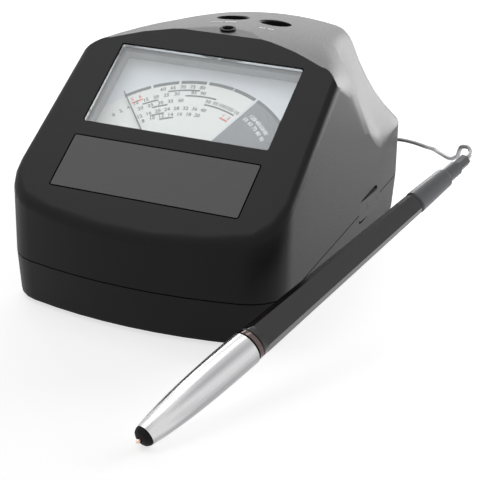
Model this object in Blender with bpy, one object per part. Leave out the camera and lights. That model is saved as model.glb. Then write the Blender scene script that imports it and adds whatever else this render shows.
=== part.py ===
"""Desk-top thermal gem tester: a wedge-shaped unit with an analogue meter, and a pen probe on a cable.

Metres, +Z up. The unit is built around the middle of its own plan, then everything is moved so that
the origin lies on the table under the middle of the unit and its pen. The meter faces -Y, and +X is
to the right of someone who reads it.
"""
import math

import bmesh
import bpy
from mathutils import Matrix, Vector

# Unit: plan outline
BODY_WIDTH = 0.1010
BODY_LENGTH = 0.1500
WIDEST_FROM_FRONT = 0.0190
SIDE_TAPER_SHARE = 0.035
FRONT_BOW_RADIUS = 0.1670
FRONT_CORNER_RADIUS = 0.0150
REAR_BOW_RADIUS = 0.2600
REAR_CORNER_RADIUS = 0.0120

# Unit: heights
SEAM_Z = 0.0165
SEAM_GAP = 0.0004
BASE_BOTTOM_Z = 0.0010
BASE_DRAFT = 0.0010
BASE_EDGE_RADIUS = 0.0012
BASE_FLOOR = 0.0024
SHOULDER_Z = 0.0378
CROWN_Z = 0.0842
CROWN_LENGTH_RADIUS = 0.3850
CROWN_WIDTH_RADIUS = 0.1400
CROWN_FALL_SHARE = 0.055

# Unit: the sloping panel and the flat above it
PANEL_FRONT_Z = 0.0352
PANEL_ANGLE = math.radians(33.1)
PANEL_LENGTH = 0.0880
PANEL_EDGE_RADIUS = 0.0030
LAMP_FLAT_ANGLE = math.radians(3.0)

# Unit: the hump and its scooped flanks
CREASE_FROM_FRONT = 0.0890
CREASE_TOP_Z = 0.0570
CREASE_END_FROM_FRONT = 0.1190
CREASE_FADE = 0.0170
HUMP_CORNER_FRONT = (0.0070, 0.0080)
HUMP_CORNER_REAR = (0.0200, 0.0360)
HUMP_CORNER_FROM_FRONT = 0.0590
PLATEAU_FRONT_HALF = 0.0355
PLATEAU_REAR_HALF = 0.0255
PLATEAU_REAR_FROM_REAR = 0.0150
PLATEAU_EDGE_RADIUS = 0.0045
HUMP_END_FROM_REAR = 0.0006
HUMP_FALL_FROM_REAR = 0.0270
HUMP_FOOT_Z = 0.0420
SHOULDER_RIM = 0.0034
FLANK_HOLLOW_SHARES = (0.38, 0.42)

# Walls, gaps and running clearances
WALL = 0.0024
TOUCH_GAP = 0.0003
RUNNING_GAP = 0.0003
OVERRUN = 0.0020
LIP_HEIGHT = 0.0020
LIP_WALL = 0.0011

# Meter window and case
WINDOW_WIDTH = 0.0694
WINDOW_LOW_V = 0.0420
WINDOW_HIGH_V = 0.0780
WINDOW_CORNER = 0.0008
LENS_SINK = 0.0004
LENS_FLANGE_REACH = 0.0018
LENS_FLANGE = 0.0010
CASE_HALF_WIDTH = 0.0380
CASE_LOW_V = 0.0160
CASE_HIGH_V = 0.0800
CASE_WALL = 0.0012
CASE_DEPTH = 0.0185
CASE_CORNER = 0.0020
DIAL_DEPTH = 0.0099
DIAL_THICKNESS = 0.0005
DIAL_LOW_V = 0.0385
DIAL_POST_RADIUS = 0.0022
DIAL_POST_X = 0.0300
DIAL_POST_V = 0.0600

# Moving-coil movement, heights taken from the panel surface downwards
PIVOT_V = 0.0283
POINTER_LENGTH = 0.0450
POINTER_TAIL = 0.0080
POINTER_WIDTH = 0.0008
POINTER_THICKNESS = 0.0004
POINTER_LIFT = 0.0010
POINTER_REST_ANGLE = math.radians(131.0)
COUNTERWEIGHT = 0.0022
HUB_RADIUS = 0.0022
HUB_HEIGHT = 0.0008
SPINDLE_RADIUS = 0.0005
CORE_RADIUS = 0.0040
CORE_TOP = 0.0124
CORE_HEIGHT = 0.0036
COIL_CLEARANCE = 0.0005
COIL_WALL = 0.0008
COIL_BAR = 0.0005
COIL_WIDTH = 0.0026
RING_INNER_RADIUS = 0.0060
RING_OUTER_RADIUS = 0.0106
RING_HEIGHT = 0.0046
WEB_WIDTH = 0.0036
BRIDGE_TOP = 0.0066
BRIDGE_WIDTH = 0.0030
BRIDGE_THICKNESS = 0.0012
BRIDGE_REACH = 0.0098
BEARING_DEPTH = 0.0007
HAIRSPRING_WIRE = 0.0001
HAIRSPRING_TURNS = 4
HAIRSPRING_INNER = 0.0010
HAIRSPRING_OUTER = 0.0036
HAIRSPRING_DEPTH = 0.0102

# Name plate
PLATE_WIDTH = 0.0687
PLATE_LOW_V = 0.0141
PLATE_HIGH_V = 0.0356
PLATE_THICKNESS = 0.0008
PLATE_GAP = 0.0005
PLATE_CORNER = 0.0005

# Controls on the crown, heights taken from the crown surface downwards
WELL_RADIUS = 0.00585
WELL_SPACING = 0.0171
WELL_FROM_FRONT = 0.1025
WELL_DEPTH = 0.0090
WELL_WALL = 0.0012
WELL_EDGE = 0.0005
WELL_TILT = math.radians(6.0)
CONTROL_SINK = 0.0054
BUTTON_TRAVEL = 0.0012
BUTTON_FLANGE_RADIUS = 0.0066
BUTTON_FLANGE = 0.0010
BUTTON_DISH = 0.0005
BUTTON_STEM_RADIUS = 0.0016
BUTTON_STEM_DEPTH = 0.0140
KNOB_DEPTH = 0.0110
KNOB_SLOT_WIDTH = 0.0014
KNOB_SLOT_DEPTH = 0.0012
POT_SHAFT_RADIUS = 0.0028
POT_SHAFT_DEPTH = 0.0150
POT_RADIUS = 0.0080
POT_TOP = 0.0114
SWITCH_SIZE = 0.0062
SWITCH_TOP = 0.0134
CONTROL_BOARD_DEPTH = 0.0175
BOARD_THICKNESS = 0.0016
CONTROL_BOARD_HALF_WIDTH = 0.0210
CONTROL_BOARD_FRONT = 0.0234
CONTROL_BOARD_REAR = 0.0110
LAMP_FROM_FRONT = 0.0791
LAMP_HOLE_RADIUS = 0.0026
BEZEL_RADIUS = 0.0029
BEZEL_HEIGHT = 0.0003
BEZEL_DEPTH = 0.0030
LAMP_RADIUS = 0.0015
LAMP_FLANGE_RADIUS = 0.0020
LAMP_LEG = 0.0005
LAMP_LEG_SPACING = 0.0014
LAMP_LEG_LENGTH = 0.0120

# Power rocker on the right-hand side
ROCKER_FROM_REAR = 0.0475
ROCKER_LENGTH = 0.0196
ROCKER_HEIGHT = 0.0076
ROCKER_MARGIN = 0.0010
ROCKER_CORNER = 0.0020
ROCKER_PROUD = 0.0005
ROCKER_THICKNESS = 0.0017
ROCKER_TRUNK_LENGTH = 0.0040
ROCKER_TRUNK_HEIGHT = 0.0056
ROCKER_TRUNK_DEPTH = 0.0068
ROCKER_PIVOT_DEPTH = 0.0048
ROCKER_TILT = math.radians(5.0)
ROCKER_CENTRE_Z = 0.0168
SWITCH_BODY_DEPTH = 0.0110
SWITCH_BODY_LENGTH = 0.0200
SWITCH_BODY_HEIGHT = 0.0108

# Battery bay and cover
CELL_RADIUS = 0.00715
CELL_LENGTH = 0.0500
CELL_NIPPLE_RADIUS = 0.0027
CELL_NIPPLE = 0.0012
CELL_COUNT = 3
CELL_GAP = 0.0008
BAY_FROM_REAR = 0.0590
BAY_WALL = 0.0016
CONTACT_THICKNESS = 0.0005
CONTACT_LOW = 0.0050
COVER_THICKNESS = 0.0012
COVER_LEDGE = 0.0018
COVER_TRAVEL = 0.0050
COVER_RIDGE = 0.0004
COVER_RIDGE_WIDTH = 0.0008
COVER_RIDGE_COUNT = 4

# Feet and screws
FOOT_RADIUS = 0.0050
FOOT_SEAT = 0.0007
FOOT_X = (0.0330, 0.0310)
FOOT_FROM_ENDS = (0.0190, 0.0140)
BOSS_RADIUS = 0.0036
BOSS_X = (0.0424, 0.0384)
BOSS_FROM_ENDS = (0.0310, 0.0190)
SCREW_RADIUS = 0.0013
SCREW_HEAD_RADIUS = 0.0024
SCREW_HEAD_HEIGHT = 0.0017
SCREW_SEAT_Z = 0.0070
SCREW_LENGTH = 0.0170
SCREW_DRIVE_RADIUS = 0.0011
SCREW_DRIVE_DEPTH = 0.0009

# Main board
BOARD_HALF_WIDTH = 0.0350
BOARD_FROM_FRONT = 0.0140
BOARD_TO_BAY = 0.0032
BOARD_Z = 0.0105
POST_RADIUS = 0.0022
POST_INSET = 0.0060
CHIP_SIZE = (0.0150, 0.0080, 0.0020)
CHIP_X = -0.0120
CAPACITOR_RADIUS = 0.0040
CAPACITOR_HEIGHT = 0.0090
CAPACITOR_X = 0.0150

# Rear sockets and the plug
SOCKET_Z = 0.0265
PROBE_SOCKET_X = -0.0200
ADAPTOR_SOCKET_X = 0.0080
SOCKET_RADIUS = 0.0044
SOCKET_FLANGE_RADIUS = 0.0056
SOCKET_RIM = 0.0010
SOCKET_BODY_RADIUS = 0.0058
SOCKET_BODY_DEPTH = 0.0120
SOCKET_BORE = 0.0018
SOCKET_BORE_DEPTH = 0.0110
ADAPTOR_BORE = 0.0028
ADAPTOR_PIN = 0.0010
PLUG_RADIUS = 0.0040
PLUG_EDGE = 0.0006
PLUG_LENGTH = 0.0140
PLUG_PIN_LENGTH = 0.0090
RELIEF_FRONT_RADIUS = 0.0022
RELIEF_REAR_RADIUS = 0.0013
RELIEF_LENGTH = 0.0070

# Pen probe, measured along its axis from the point
PEN_POINT = Vector((0.0379, -0.1380, 0.00295))
PEN_REAR = Vector((0.0899, 0.0042, 0.0501))
PIN_RADIUS = 0.0006
PIN_PROUD = 0.0014
PIN_FLANGE_RADIUS = 0.0013
PIN_FLANGE = 0.0008
PIN_TRAVEL = 0.0010
INSERT_BORE = 0.0009
INSERT_NOSE = ((0.0013, 0.0), (0.0022, 0.0002), (0.0029, 0.0007), (0.0034, 0.0017))
INSERT_SPIGOT_RADIUS = 0.0021
INSERT_END = 0.0120
CONE_START = 0.0020
CONE_END = 0.0455
CONE_FRONT_RADIUS = 0.0035
CONE_REAR_RADIUS = 0.0056
CONE_BULGE = 0.00086
CONE_FULLNESS = 0.8
CONE_WALL = 0.0010
CONE_STEPS = 9
TIP_SPRING_WIRE = 0.00015
TIP_SPRING_RADIUS = 0.0010
TIP_SPRING_LENGTH = 0.0052
TIP_SPRING_TURNS = 5
HEATER_RADIUS = 0.0016
HEATER_LENGTH = 0.0180
COLLAR_START = 0.0463
COLLAR_END = 0.0478
COLLAR_RADIUS = 0.0053
BARREL_START = 0.0481
BARREL_END = 0.1285
BARREL_FRONT_RADIUS = 0.0052
BARREL_REAR_RADIUS = 0.0037
BARREL_NOSE = 0.0014
BARREL_BORE = 0.0018
BARREL_SIDES = 8
FRONT_SPIGOT_RADIUS = 0.0042
FRONT_SPIGOT_LENGTH = 0.0060
REAR_SPIGOT_RADIUS = 0.0027
REAR_SPIGOT_LENGTH = 0.0070
SLEEVE_START = 0.1288
SLEEVE_END = 0.1456
SLEEVE_RADIUS = 0.0039
SLEEVE_REAR_RADIUS = 0.0034
SLEEVE_CHAMFER = 0.0005
SLEEVE_BORE = 0.0030
PEN_PLUG_SPIGOT = 0.0050
PEN_PLUG_RADIUS = 0.0026
PEN_PLUG_END = 0.1522
PEN_END_RADIUS = 0.0021
PEN_END = 0.1572
WIRE_RADIUS = 0.0008

# Cable
CABLE_RADIUS = 0.0008
COIL_LOOPS_IN_LAYER = 3
COIL_LAYERS = 4
COIL_PITCH = 0.0021
COIL_INNER_RADIUS = 0.0059
COIL_CENTRE = Vector((0.0070, 0.1180, 0.0010))
COIL_END_ANGLE = math.radians(37)
LOOP_POINTS = 24
LEAST_LOOP_GAP = 0.0004
FINE_STEP = 0.0020
COARSE_STEP = 0.0046
FINE_LENGTH = 0.0270
PEN_ROUTE = (
    (0.0901, 0.0074, 0.0508), (0.0882, 0.0108, 0.0514), (0.0853, 0.0130, 0.0504), (0.0841, 0.0154, 0.0487),
    (0.0829, 0.0186, 0.0465), (0.0807, 0.0251, 0.0423), (0.0751, 0.0366, 0.0365), (0.0670, 0.0504, 0.0328),
    (0.0600, 0.0661, 0.0280), (0.0530, 0.0810, 0.0228), (0.0435, 0.0950, 0.0186), (0.0330, 0.1085, 0.0140),
    (0.0240, 0.1180, 0.0096),
)
JACK_ROUTE = (
    (0.0115, 0.1312, 0.0010), (0.0040, 0.1338, 0.0010), (-0.0060, 0.1335, 0.0010), (-0.0150, 0.1295,
                                                                                    0.0012),
    (-0.0205, 0.1235, 0.0030), (-0.0222, 0.1185, 0.0085), (-0.0214, 0.1135, 0.0175), (-0.0203, 0.1070,
                                                                                      0.0245),
)

# Places along Y that follow from the ends of the unit
FRONT_Y = -BODY_LENGTH / 2
REAR_Y = BODY_LENGTH / 2
WIDEST_Y = FRONT_Y + WIDEST_FROM_FRONT
HUMP_CORNER_START_Y = FRONT_Y + HUMP_CORNER_FROM_FRONT
LAMP_Y = FRONT_Y + LAMP_FROM_FRONT
CREASE_Y = FRONT_Y + CREASE_FROM_FRONT
WELL_Y = FRONT_Y + WELL_FROM_FRONT
CREASE_END_Y = FRONT_Y + CREASE_END_FROM_FRONT
HUMP_FALL_Y = REAR_Y - HUMP_FALL_FROM_REAR
PLATEAU_REAR_Y = REAR_Y - PLATEAU_REAR_FROM_REAR
HUMP_END_Y = REAR_Y - HUMP_END_FROM_REAR
ROCKER_Y = REAR_Y - ROCKER_FROM_REAR
BAY_Y = REAR_Y - BAY_FROM_REAR
BAY_HALF_LENGTH = CELL_LENGTH / 2 + CELL_NIPPLE / 2 + 2 * TOUCH_GAP + CONTACT_THICKNESS
BAY_HALF_WIDTH = CELL_COUNT * CELL_RADIUS + CELL_GAP
BOARD_FRONT_Y = FRONT_Y + BOARD_FROM_FRONT
BOARD_REAR_Y = BAY_Y - BAY_HALF_WIDTH - BAY_WALL - BOARD_TO_BAY
FOOT_PLACES = ((FOOT_X[0], FRONT_Y + FOOT_FROM_ENDS[0]), (FOOT_X[1], REAR_Y - FOOT_FROM_ENDS[1]))
BOSS_PLACES = ((BOSS_X[0], FRONT_Y + BOSS_FROM_ENDS[0]), (BOSS_X[1], REAR_Y - BOSS_FROM_ENDS[1]))


def clear_scene():
    for old in list(bpy.data.objects):
        bpy.data.objects.remove(old, do_unlink=True)


def make_material(name, colour, roughness, metallic=0.0):
    material = bpy.data.materials.new(name)
    material.use_nodes = True
    shader = material.node_tree.nodes["Principled BSDF"]
    shader.inputs["Base Color"].default_value = (*colour, 1.0)
    shader.inputs["Roughness"].default_value = roughness
    shader.inputs["Metallic"].default_value = metallic
    material.diffuse_color = (*colour, 1.0)
    return material


def new_object(name, bm, material=None, smooth_angle=math.radians(30)):
    mesh = bpy.data.meshes.new(name)
    bmesh.ops.recalc_face_normals(bm, faces=bm.faces)
    bm.to_mesh(mesh)
    bm.free()
    mesh.shade_smooth()
    mesh.set_sharp_from_angle(angle=smooth_angle)
    thing = bpy.data.objects.new(name, mesh)
    bpy.context.scene.collection.objects.link(thing)
    if material:
        mesh.materials.append(material)
    return thing


def combine(target, tool, operation):
    """Apply one exact Boolean and drop the tool."""
    modifier = target.modifiers.new(operation.lower(), "BOOLEAN")
    modifier.operation = operation
    modifier.solver = "EXACT"
    modifier.object = tool
    bpy.context.view_layer.update()
    graph = bpy.context.evaluated_depsgraph_get()
    result = bpy.data.meshes.new_from_object(target.evaluated_get(graph))
    target.modifiers.remove(modifier)
    old = target.data
    target.data = result
    bpy.data.meshes.remove(old)
    bpy.data.objects.remove(tool, do_unlink=True)
    target.data.set_sharp_from_angle(angle=math.radians(30))
    return target


def joined(tools):
    """One tool made of several that do not meet, so that one Boolean does the work of all."""
    bm = bmesh.new()
    for tool in tools:
        tool.data.transform(tool.matrix_world)
        bm.from_mesh(tool.data)
        bpy.data.objects.remove(tool, do_unlink=True)
    return new_object("joined_tool", bm)


def cut(target, tool):
    return combine(target, tool, "DIFFERENCE")


def add(target, tool):
    return combine(target, tool, "UNION")


def place(thing, matrix):
    thing.matrix_world = matrix
    bpy.context.view_layer.update()
    return thing


# Basic shapes, each a bmesh in its own frame

def extruded(points, low, high):
    """A closed outline in X and Y, extruded along Z."""
    bm = bmesh.new()
    ring = [bm.verts.new((x, y, low)) for x, y in points]
    face = bm.faces.new(ring)
    moved = bmesh.ops.extrude_face_region(bm, geom=[face])["geom"]
    tops = [item for item in moved if isinstance(item, bmesh.types.BMVert)]
    bmesh.ops.translate(bm, verts=tops, vec=(0, 0, high - low))
    return bm


def box(low, high):
    bm = bmesh.new()
    bmesh.ops.create_cube(bm, size=1.0)
    for vert in bm.verts:
        for axis in range(3):
            vert.co[axis] = high[axis] if vert.co[axis] > 0 else low[axis]
    return bm


def rounded_outline(width, height, radius, steps=4):
    """A rectangle with round corners, centred on zero."""
    points = []
    for turn, (sx, sy) in enumerate(((1, 1), (-1, 1), (-1, -1), (1, -1))):
        for step in range(steps + 1):
            angle = math.radians(90) * (turn + step / steps)
            x = sx * (width / 2 - radius) + radius * math.cos(angle)
            y = sy * (height / 2 - radius) + radius * math.sin(angle)
            points.append((x, y))
    return points


def turned(profile, steps=32):
    """A solid of revolution about Z from (radius, height) pairs that start and end on the axis or close."""
    bm = bmesh.new()
    line = [bm.verts.new((radius, 0, height)) for radius, height in profile]
    edges = [bm.edges.new(pair) for pair in zip(line, line[1:])]
    if profile[0][0] > 0:
        edges.append(bm.edges.new((line[-1], line[0])))
    bmesh.ops.spin(bm, geom=line + edges, cent=(0, 0, 0), axis=(0, 0, 1), angle=math.tau,
                   steps=steps, use_merge=True, use_duplicate=False)
    bmesh.ops.remove_doubles(bm, verts=bm.verts, dist=SPINDLE_RADIUS / 100)
    return bm


def disc(radius, low, high, steps=32):
    return turned([(0, low), (radius, low), (radius, high), (0, high)], steps)


def tube(inner, outer, low, high, steps=32):
    return turned([(inner, low), (outer, low), (outer, high), (inner, high)], steps)


def lofted(rings):
    """A solid through rings that have the same number of points, closed by its first and last ring."""
    bm = bmesh.new()
    loops = [[bm.verts.new(point) for point in ring] for ring in rings]
    for first, second in zip(loops, loops[1:]):
        for index in range(len(first)):
            following = (index + 1) % len(first)
            bm.faces.new((first[index], first[following], second[following], second[index]))
    bm.faces.new(loops[0])
    bm.faces.new(loops[-1])
    return bm


def aimed(origin, direction):
    """A frame whose Z axis points along a direction."""
    return Matrix.Translation(origin) @ Vector(direction).to_track_quat("Z", "Y").to_matrix().to_4x4()


# Plan outline of the unit

def wall_half_width(y, inset=0.0):
    slant = math.hypot(1, SIDE_TAPER_SHARE)
    return BODY_WIDTH / 2 - SIDE_TAPER_SHARE * (y - WIDEST_Y) - inset * slant


def corner_centre(bow_radius, corner_radius, end):
    """Centre of the arc that joins an end's bow to the side; end is -1 at the front and 1 at the rear."""
    bow_y = end * (BODY_LENGTH / 2 - bow_radius)
    reach = bow_radius - corner_radius
    line = wall_half_width(0, corner_radius)
    slope = SIDE_TAPER_SHARE
    a = 1 + slope * slope
    b = -2 * (slope * line + bow_y)
    c = line * line + bow_y * bow_y - reach * reach
    y = (-b + end * math.sqrt(b * b - 4 * a * c)) / (2 * a)
    return Vector((line - slope * y, y)), bow_y


def plan_outline(inset=0.0, corner_steps=5, bow_steps=4):
    front, front_bow_y = corner_centre(FRONT_BOW_RADIUS, FRONT_CORNER_RADIUS, -1)
    rear, rear_bow_y = corner_centre(REAR_BOW_RADIUS, REAR_CORNER_RADIUS, 1)
    side_angle = math.atan(SIDE_TAPER_SHARE)
    front_angle = math.atan2(front.y - front_bow_y, front.x)
    rear_angle = math.atan2(rear.y - rear_bow_y, rear.x)
    down = math.radians(-90)
    up = math.radians(90)
    arcs = [
        (0, front_bow_y, FRONT_BOW_RADIUS - inset, down, front_angle, bow_steps),
        (front.x, front.y, FRONT_CORNER_RADIUS - inset, front_angle, side_angle, corner_steps),
        (rear.x, rear.y, REAR_CORNER_RADIUS - inset, side_angle, rear_angle, corner_steps),
        (0, rear_bow_y, REAR_BOW_RADIUS - inset, rear_angle, up, bow_steps),
    ]
    half = []
    for x, y, radius, start, end, steps in arcs:
        for step in range(steps + 1):
            angle = start + (end - start) * step / steps
            point = (x + radius * math.cos(angle), y + radius * math.sin(angle))
            if not half or math.dist(point, half[-1]) > TOUCH_GAP / 10:
                half.append(point)
    mirrored = [(-x, y) for x, y in reversed(half[1:-1])]
    return half + mirrored


# Frames on the unit

def panel_frame(x, v, height=0.0):
    """A frame on the sloping panel: X to the right, Y up the slope, Z out of the panel."""
    c = math.cos(PANEL_ANGLE)
    s = math.sin(PANEL_ANGLE)
    origin = Vector((x, -BODY_LENGTH / 2 + v * c - height * s, PANEL_FRONT_Z + v * s + height * c))
    turn = Matrix.Rotation(PANEL_ANGLE, 4, "X")
    return Matrix.Translation(origin) @ turn


def crown_height(y):
    """Height of the crown's middle line."""
    start = panel_frame(0, PANEL_LENGTH).translation.y
    run = y - start
    arc = CROWN_Z - CROWN_FALL_SHARE * run - run * run / (2 * CROWN_LENGTH_RADIUS)
    if y <= HUMP_FALL_Y:
        return arc
    share = min((y - HUMP_FALL_Y) / (HUMP_END_Y - HUMP_FALL_Y), 1)
    rear = HUMP_FOOT_Z + (crown_height(HUMP_FALL_Y) - HUMP_FOOT_Z) * math.sqrt(1 - share ** 2.3)
    return min(arc, rear)


def crown_frame(x, y, depth=0.0):
    """A frame on the crown whose Z axis leans back with the wells."""
    height = crown_height(y) - x * x / (2 * CROWN_WIDTH_RADIUS)
    frame = Matrix.Translation((x, y, height)) @ Matrix.Rotation(-WELL_TILT, 4, "X")
    return frame @ Matrix.Translation((0, 0, -depth))


# The sculpted hump: cross-sections from the middle of the crown outwards and down

TOP_STEPS = 4
EDGE_STEPS = 3
FLANK_STEPS = 5
RIM_STEPS = 2


def top_points(half, crest):
    points = []
    for step in range(TOP_STEPS + 1):
        x = half * step / TOP_STEPS
        points.append((x, crest - x * x / (2 * CROWN_WIDTH_RADIUS)))
    return points


def curve_points(start, control, end, steps):
    points = []
    for step in range(1, steps + 1):
        t = step / steps
        points.append(tuple((1 - t) ** 2 * a + 2 * t * (1 - t) * b + t * t * c
                            for a, b, c in zip(start, control, end)))
    return points


def full_section(y):
    """Full, rounded shoulders, which grow rounder towards the crease."""
    share = (y - HUMP_CORNER_START_Y) / (CREASE_Y - HUMP_CORNER_START_Y)
    share = min(max(share, 0), 1)
    wide = HUMP_CORNER_FRONT[0] + (HUMP_CORNER_REAR[0] - HUMP_CORNER_FRONT[0]) * share ** 1.4
    tall = HUMP_CORNER_FRONT[1] + (HUMP_CORNER_REAR[1] - HUMP_CORNER_FRONT[1]) * share ** 1.5
    side = wall_half_width(y) + 2 * TOUCH_GAP
    points = top_points(side - wide, crown_height(y))
    top = points[-1][1]
    steps = EDGE_STEPS + FLANK_STEPS + RIM_STEPS
    for step in range(1, steps + 1):
        angle = math.radians(90) * (1 - step / steps)
        points.append((side - wide + wide * math.cos(angle), top - tall + tall * math.sin(angle)))
    return points


def rear_bow(x):
    """How far the rear wall lies in front of its middle at a distance from the middle."""
    return REAR_BOW_RADIUS - math.sqrt(REAR_BOW_RADIUS ** 2 - x * x)


def bend_share(y):
    """How far a cross-section has taken on the bow of the rear wall."""
    share = min(max((y - CREASE_Y) / (PLATEAU_REAR_Y - CREASE_Y), 0), 1)
    return share ** 1.5


def section_side(y):
    """Half width of the unit at a bent cross-section, round the rear corners as well."""
    straight = wall_half_width(y)
    rear, _ = corner_centre(REAR_BOW_RADIUS, REAR_CORNER_RADIUS, 1)
    x = straight
    for _ in range(6):
        rise = (y - rear.y - rear_bow(x) * bend_share(y)) / REAR_CORNER_RADIUS
        rise = min(max(rise, 0), 0.96)
        x = min(rear.x + REAR_CORNER_RADIUS * math.sqrt(1 - rise * rise), straight)
    return x + 2 * TOUCH_GAP


def corner_fade(y):
    """One along the sides, falling to a small share where the rear corners run out."""
    share = (y - REAR_Y + REAR_CORNER_RADIUS) / (REAR_CORNER_RADIUS - HUMP_END_FROM_REAR)
    share = min(max(share, 0), 1)
    return 1 - 0.85 * share ** 2


def shoulder_height(y):
    share = min(max((CREASE_END_Y - y) / (CREASE_END_Y - CREASE_Y), 0), 1)
    return SHOULDER_Z + (CREASE_TOP_Z - SHOULDER_Z) * share ** 1.6


def plateau_half(y):
    if y <= PLATEAU_REAR_Y:
        share = (PLATEAU_REAR_Y - y) / (PLATEAU_REAR_Y - CREASE_Y)
        return PLATEAU_REAR_HALF + (PLATEAU_FRONT_HALF - PLATEAU_REAR_HALF) * share ** 1.2
    share = min((y - PLATEAU_REAR_Y) / (HUMP_END_Y - PLATEAU_REAR_Y), 1)
    return PLATEAU_REAR_HALF * math.sqrt(1 - 0.6 * share ** 2)


def scooped_section(y, rim_share):
    """A plateau with a rounded edge and a hollow flank that rolls over onto the side wall."""
    crest = crown_height(y)
    low = min(shoulder_height(y), crest - PLATEAU_EDGE_RADIUS)
    half = plateau_half(y)
    side = section_side(y)
    radius = min(PLATEAU_EDGE_RADIUS, (crest - low) / 3)
    edge_z = max(crest - half * half / (2 * CROWN_WIDTH_RADIUS), low + radius)
    hollow = (half + (side - half) * FLANK_HOLLOW_SHARES[0], low + (edge_z - low) * FLANK_HOLLOW_SHARES[1])
    down = (Vector(hollow) - Vector((half, edge_z))).normalized()
    turn = Vector((half, edge_z)) + down * radius
    rim = SHOULDER_RIM * min((y - CREASE_Y) / (CREASE_END_Y - CREASE_Y), 1) * rim_share
    last = Vector((side, low)) + (Vector(hollow) - Vector((side, low))).normalized() * rim
    points = [(x, max(z, low + radius)) for x, z in top_points(half - radius, crest)]
    points += curve_points(points[-1], (half, edge_z), tuple(turn), EDGE_STEPS)
    points += curve_points(tuple(turn), hollow, tuple(last), FLANK_STEPS)
    points += curve_points(tuple(last), (side, low), (side, low - rim), RIM_STEPS)
    return points


def shelf_section(y):
    """Behind the hump there is only the level shoulder."""
    side = section_side(y)
    count = TOP_STEPS + EDGE_STEPS + FLANK_STEPS + RIM_STEPS
    level = SHOULDER_Z - TOUCH_GAP * (y - HUMP_END_Y) / REAR_CORNER_RADIUS
    rim = SHOULDER_RIM * corner_fade(HUMP_END_Y)
    return [(side * step / count, level - rim * (step == count)) for step in range(count + 1)]


def hump_section(y, rim_share=1.0):
    """The full form up to the crease, then the scoop sinks in from nothing."""
    full = full_section(y)
    if y <= CREASE_Y:
        return full
    share = min((y - CREASE_Y) / CREASE_FADE, 1)
    share = 1 - (1 - share) ** 1.7
    return [tuple(a + (b - a) * share for a, b in zip(first, second))
            for first, second in zip(full, scooped_section(y, rim_share))]


def inset_section(points, inset):
    if not inset:
        return points
    moved = []
    for index, (x, z) in enumerate(points):
        before = points[max(index - 1, 0)]
        after = points[min(index + 1, len(points) - 1)]
        run = Vector((after[0] - before[0], after[1] - before[1])).normalized()
        moved.append((max(x + run.y * inset, 0) if index else 0, z - run.x * inset))
    return moved


def section_ring(y, points, inset):
    half = inset_section(points, inset)
    outside = BODY_WIDTH / 2 + FRONT_CORNER_RADIUS
    half = half + [(outside, half[-1][1]), (outside, 0)]
    bent = [(x, y - rear_bow(x) * bend_share(y), z) for x, z in half]
    return bent + [(-x, at_y, z) for x, at_y, z in reversed(bent[1:])]


def crown_solid(inset=0.0):
    """Everything under the crown surface, scooped flanks and all."""
    front = -BODY_LENGTH / 2 - FRONT_CORNER_RADIUS
    rear = BODY_LENGTH / 2 + REAR_CORNER_RADIUS
    rings = [section_ring(front, hump_section(front), inset)]
    steps = 2 if inset else 4
    for step in range(steps + 1):
        y = HUMP_CORNER_START_Y + (CREASE_Y - HUMP_CORNER_START_Y) * step / steps
        rings.append(section_ring(y, hump_section(y), inset))
    end = HUMP_END_Y - TOUCH_GAP - inset
    steps = 6 if inset else 15
    for step in range(1, steps + 1):
        share = step / steps
        y = CREASE_Y + (end - CREASE_Y) * (share + math.sin(math.radians(180) * share) / 12)
        rings.append(section_ring(y, hump_section(y + inset, 1 if inset else corner_fade(y)), inset))
    if inset:
        rings.append(section_ring(rear, hump_section(end + inset), inset))
    else:
        rings.append(section_ring(HUMP_END_Y, shelf_section(HUMP_END_Y), inset))
        rings.append(section_ring(rear, shelf_section(rear), inset))
    return lofted(rings)


def unit_solid(name, inset, low):
    """The whole outer form of the upper half, or the same form set in by a wall."""
    outline = plan_outline(inset, 3, 3) if inset else plan_outline()
    bm = extruded(outline, low, CROWN_Z + OVERRUN)
    top = panel_frame(0, PANEL_LENGTH, -inset)
    cuts = [
        (panel_frame(0, 0, -inset).translation, Vector((0, -math.sin(PANEL_ANGLE), math.cos(PANEL_ANGLE)))),
        (top.translation, Vector((0, -math.sin(LAMP_FLAT_ANGLE), math.cos(LAMP_FLAT_ANGLE)))),
    ]
    for point, normal in cuts:
        geometry = bm.verts[:] + bm.edges[:] + bm.faces[:]
        sliced = bmesh.ops.bisect_plane(bm, geom=geometry, plane_co=point, plane_no=normal,
                                        clear_outer=True)
        rim = [item for item in sliced["geom_cut"] if isinstance(item, bmesh.types.BMEdge)]
        bmesh.ops.contextual_create(bm, geom=rim)
    if not inset:
        bm.normal_update()
        rim = [edge for edge in bm.edges if len(edge.link_faces) == 2
               and sorted(abs(face.normal.z) > 0.3 for face in edge.link_faces) == [False, True]
               and edge.verts[0].co.z > low + WALL]
        bmesh.ops.bevel(bm, geom=rim, offset=PANEL_EDGE_RADIUS, offset_type="OFFSET", segments=4,
                        profile=0.5, affect="EDGES", clamp_overlap=True)
    body = new_object(name, bm)
    crown = new_object(name + "_crown", crown_solid(inset))
    return combine(body, crown, "INTERSECT")


# Shells

def wall_frame(y, z):
    """A frame on the right-hand wall: Z out of the wall, X to the rear, Y up."""
    angle = math.atan(SIDE_TAPER_SHARE)
    out = Vector((math.cos(angle), math.sin(angle), 0))
    rear = Vector((-math.sin(angle), math.cos(angle), 0))
    frame = Matrix((rear, Vector((0, 0, 1)), out)).transposed().to_4x4()
    return Matrix.Translation((wall_half_width(y), y, z)) @ frame


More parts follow.
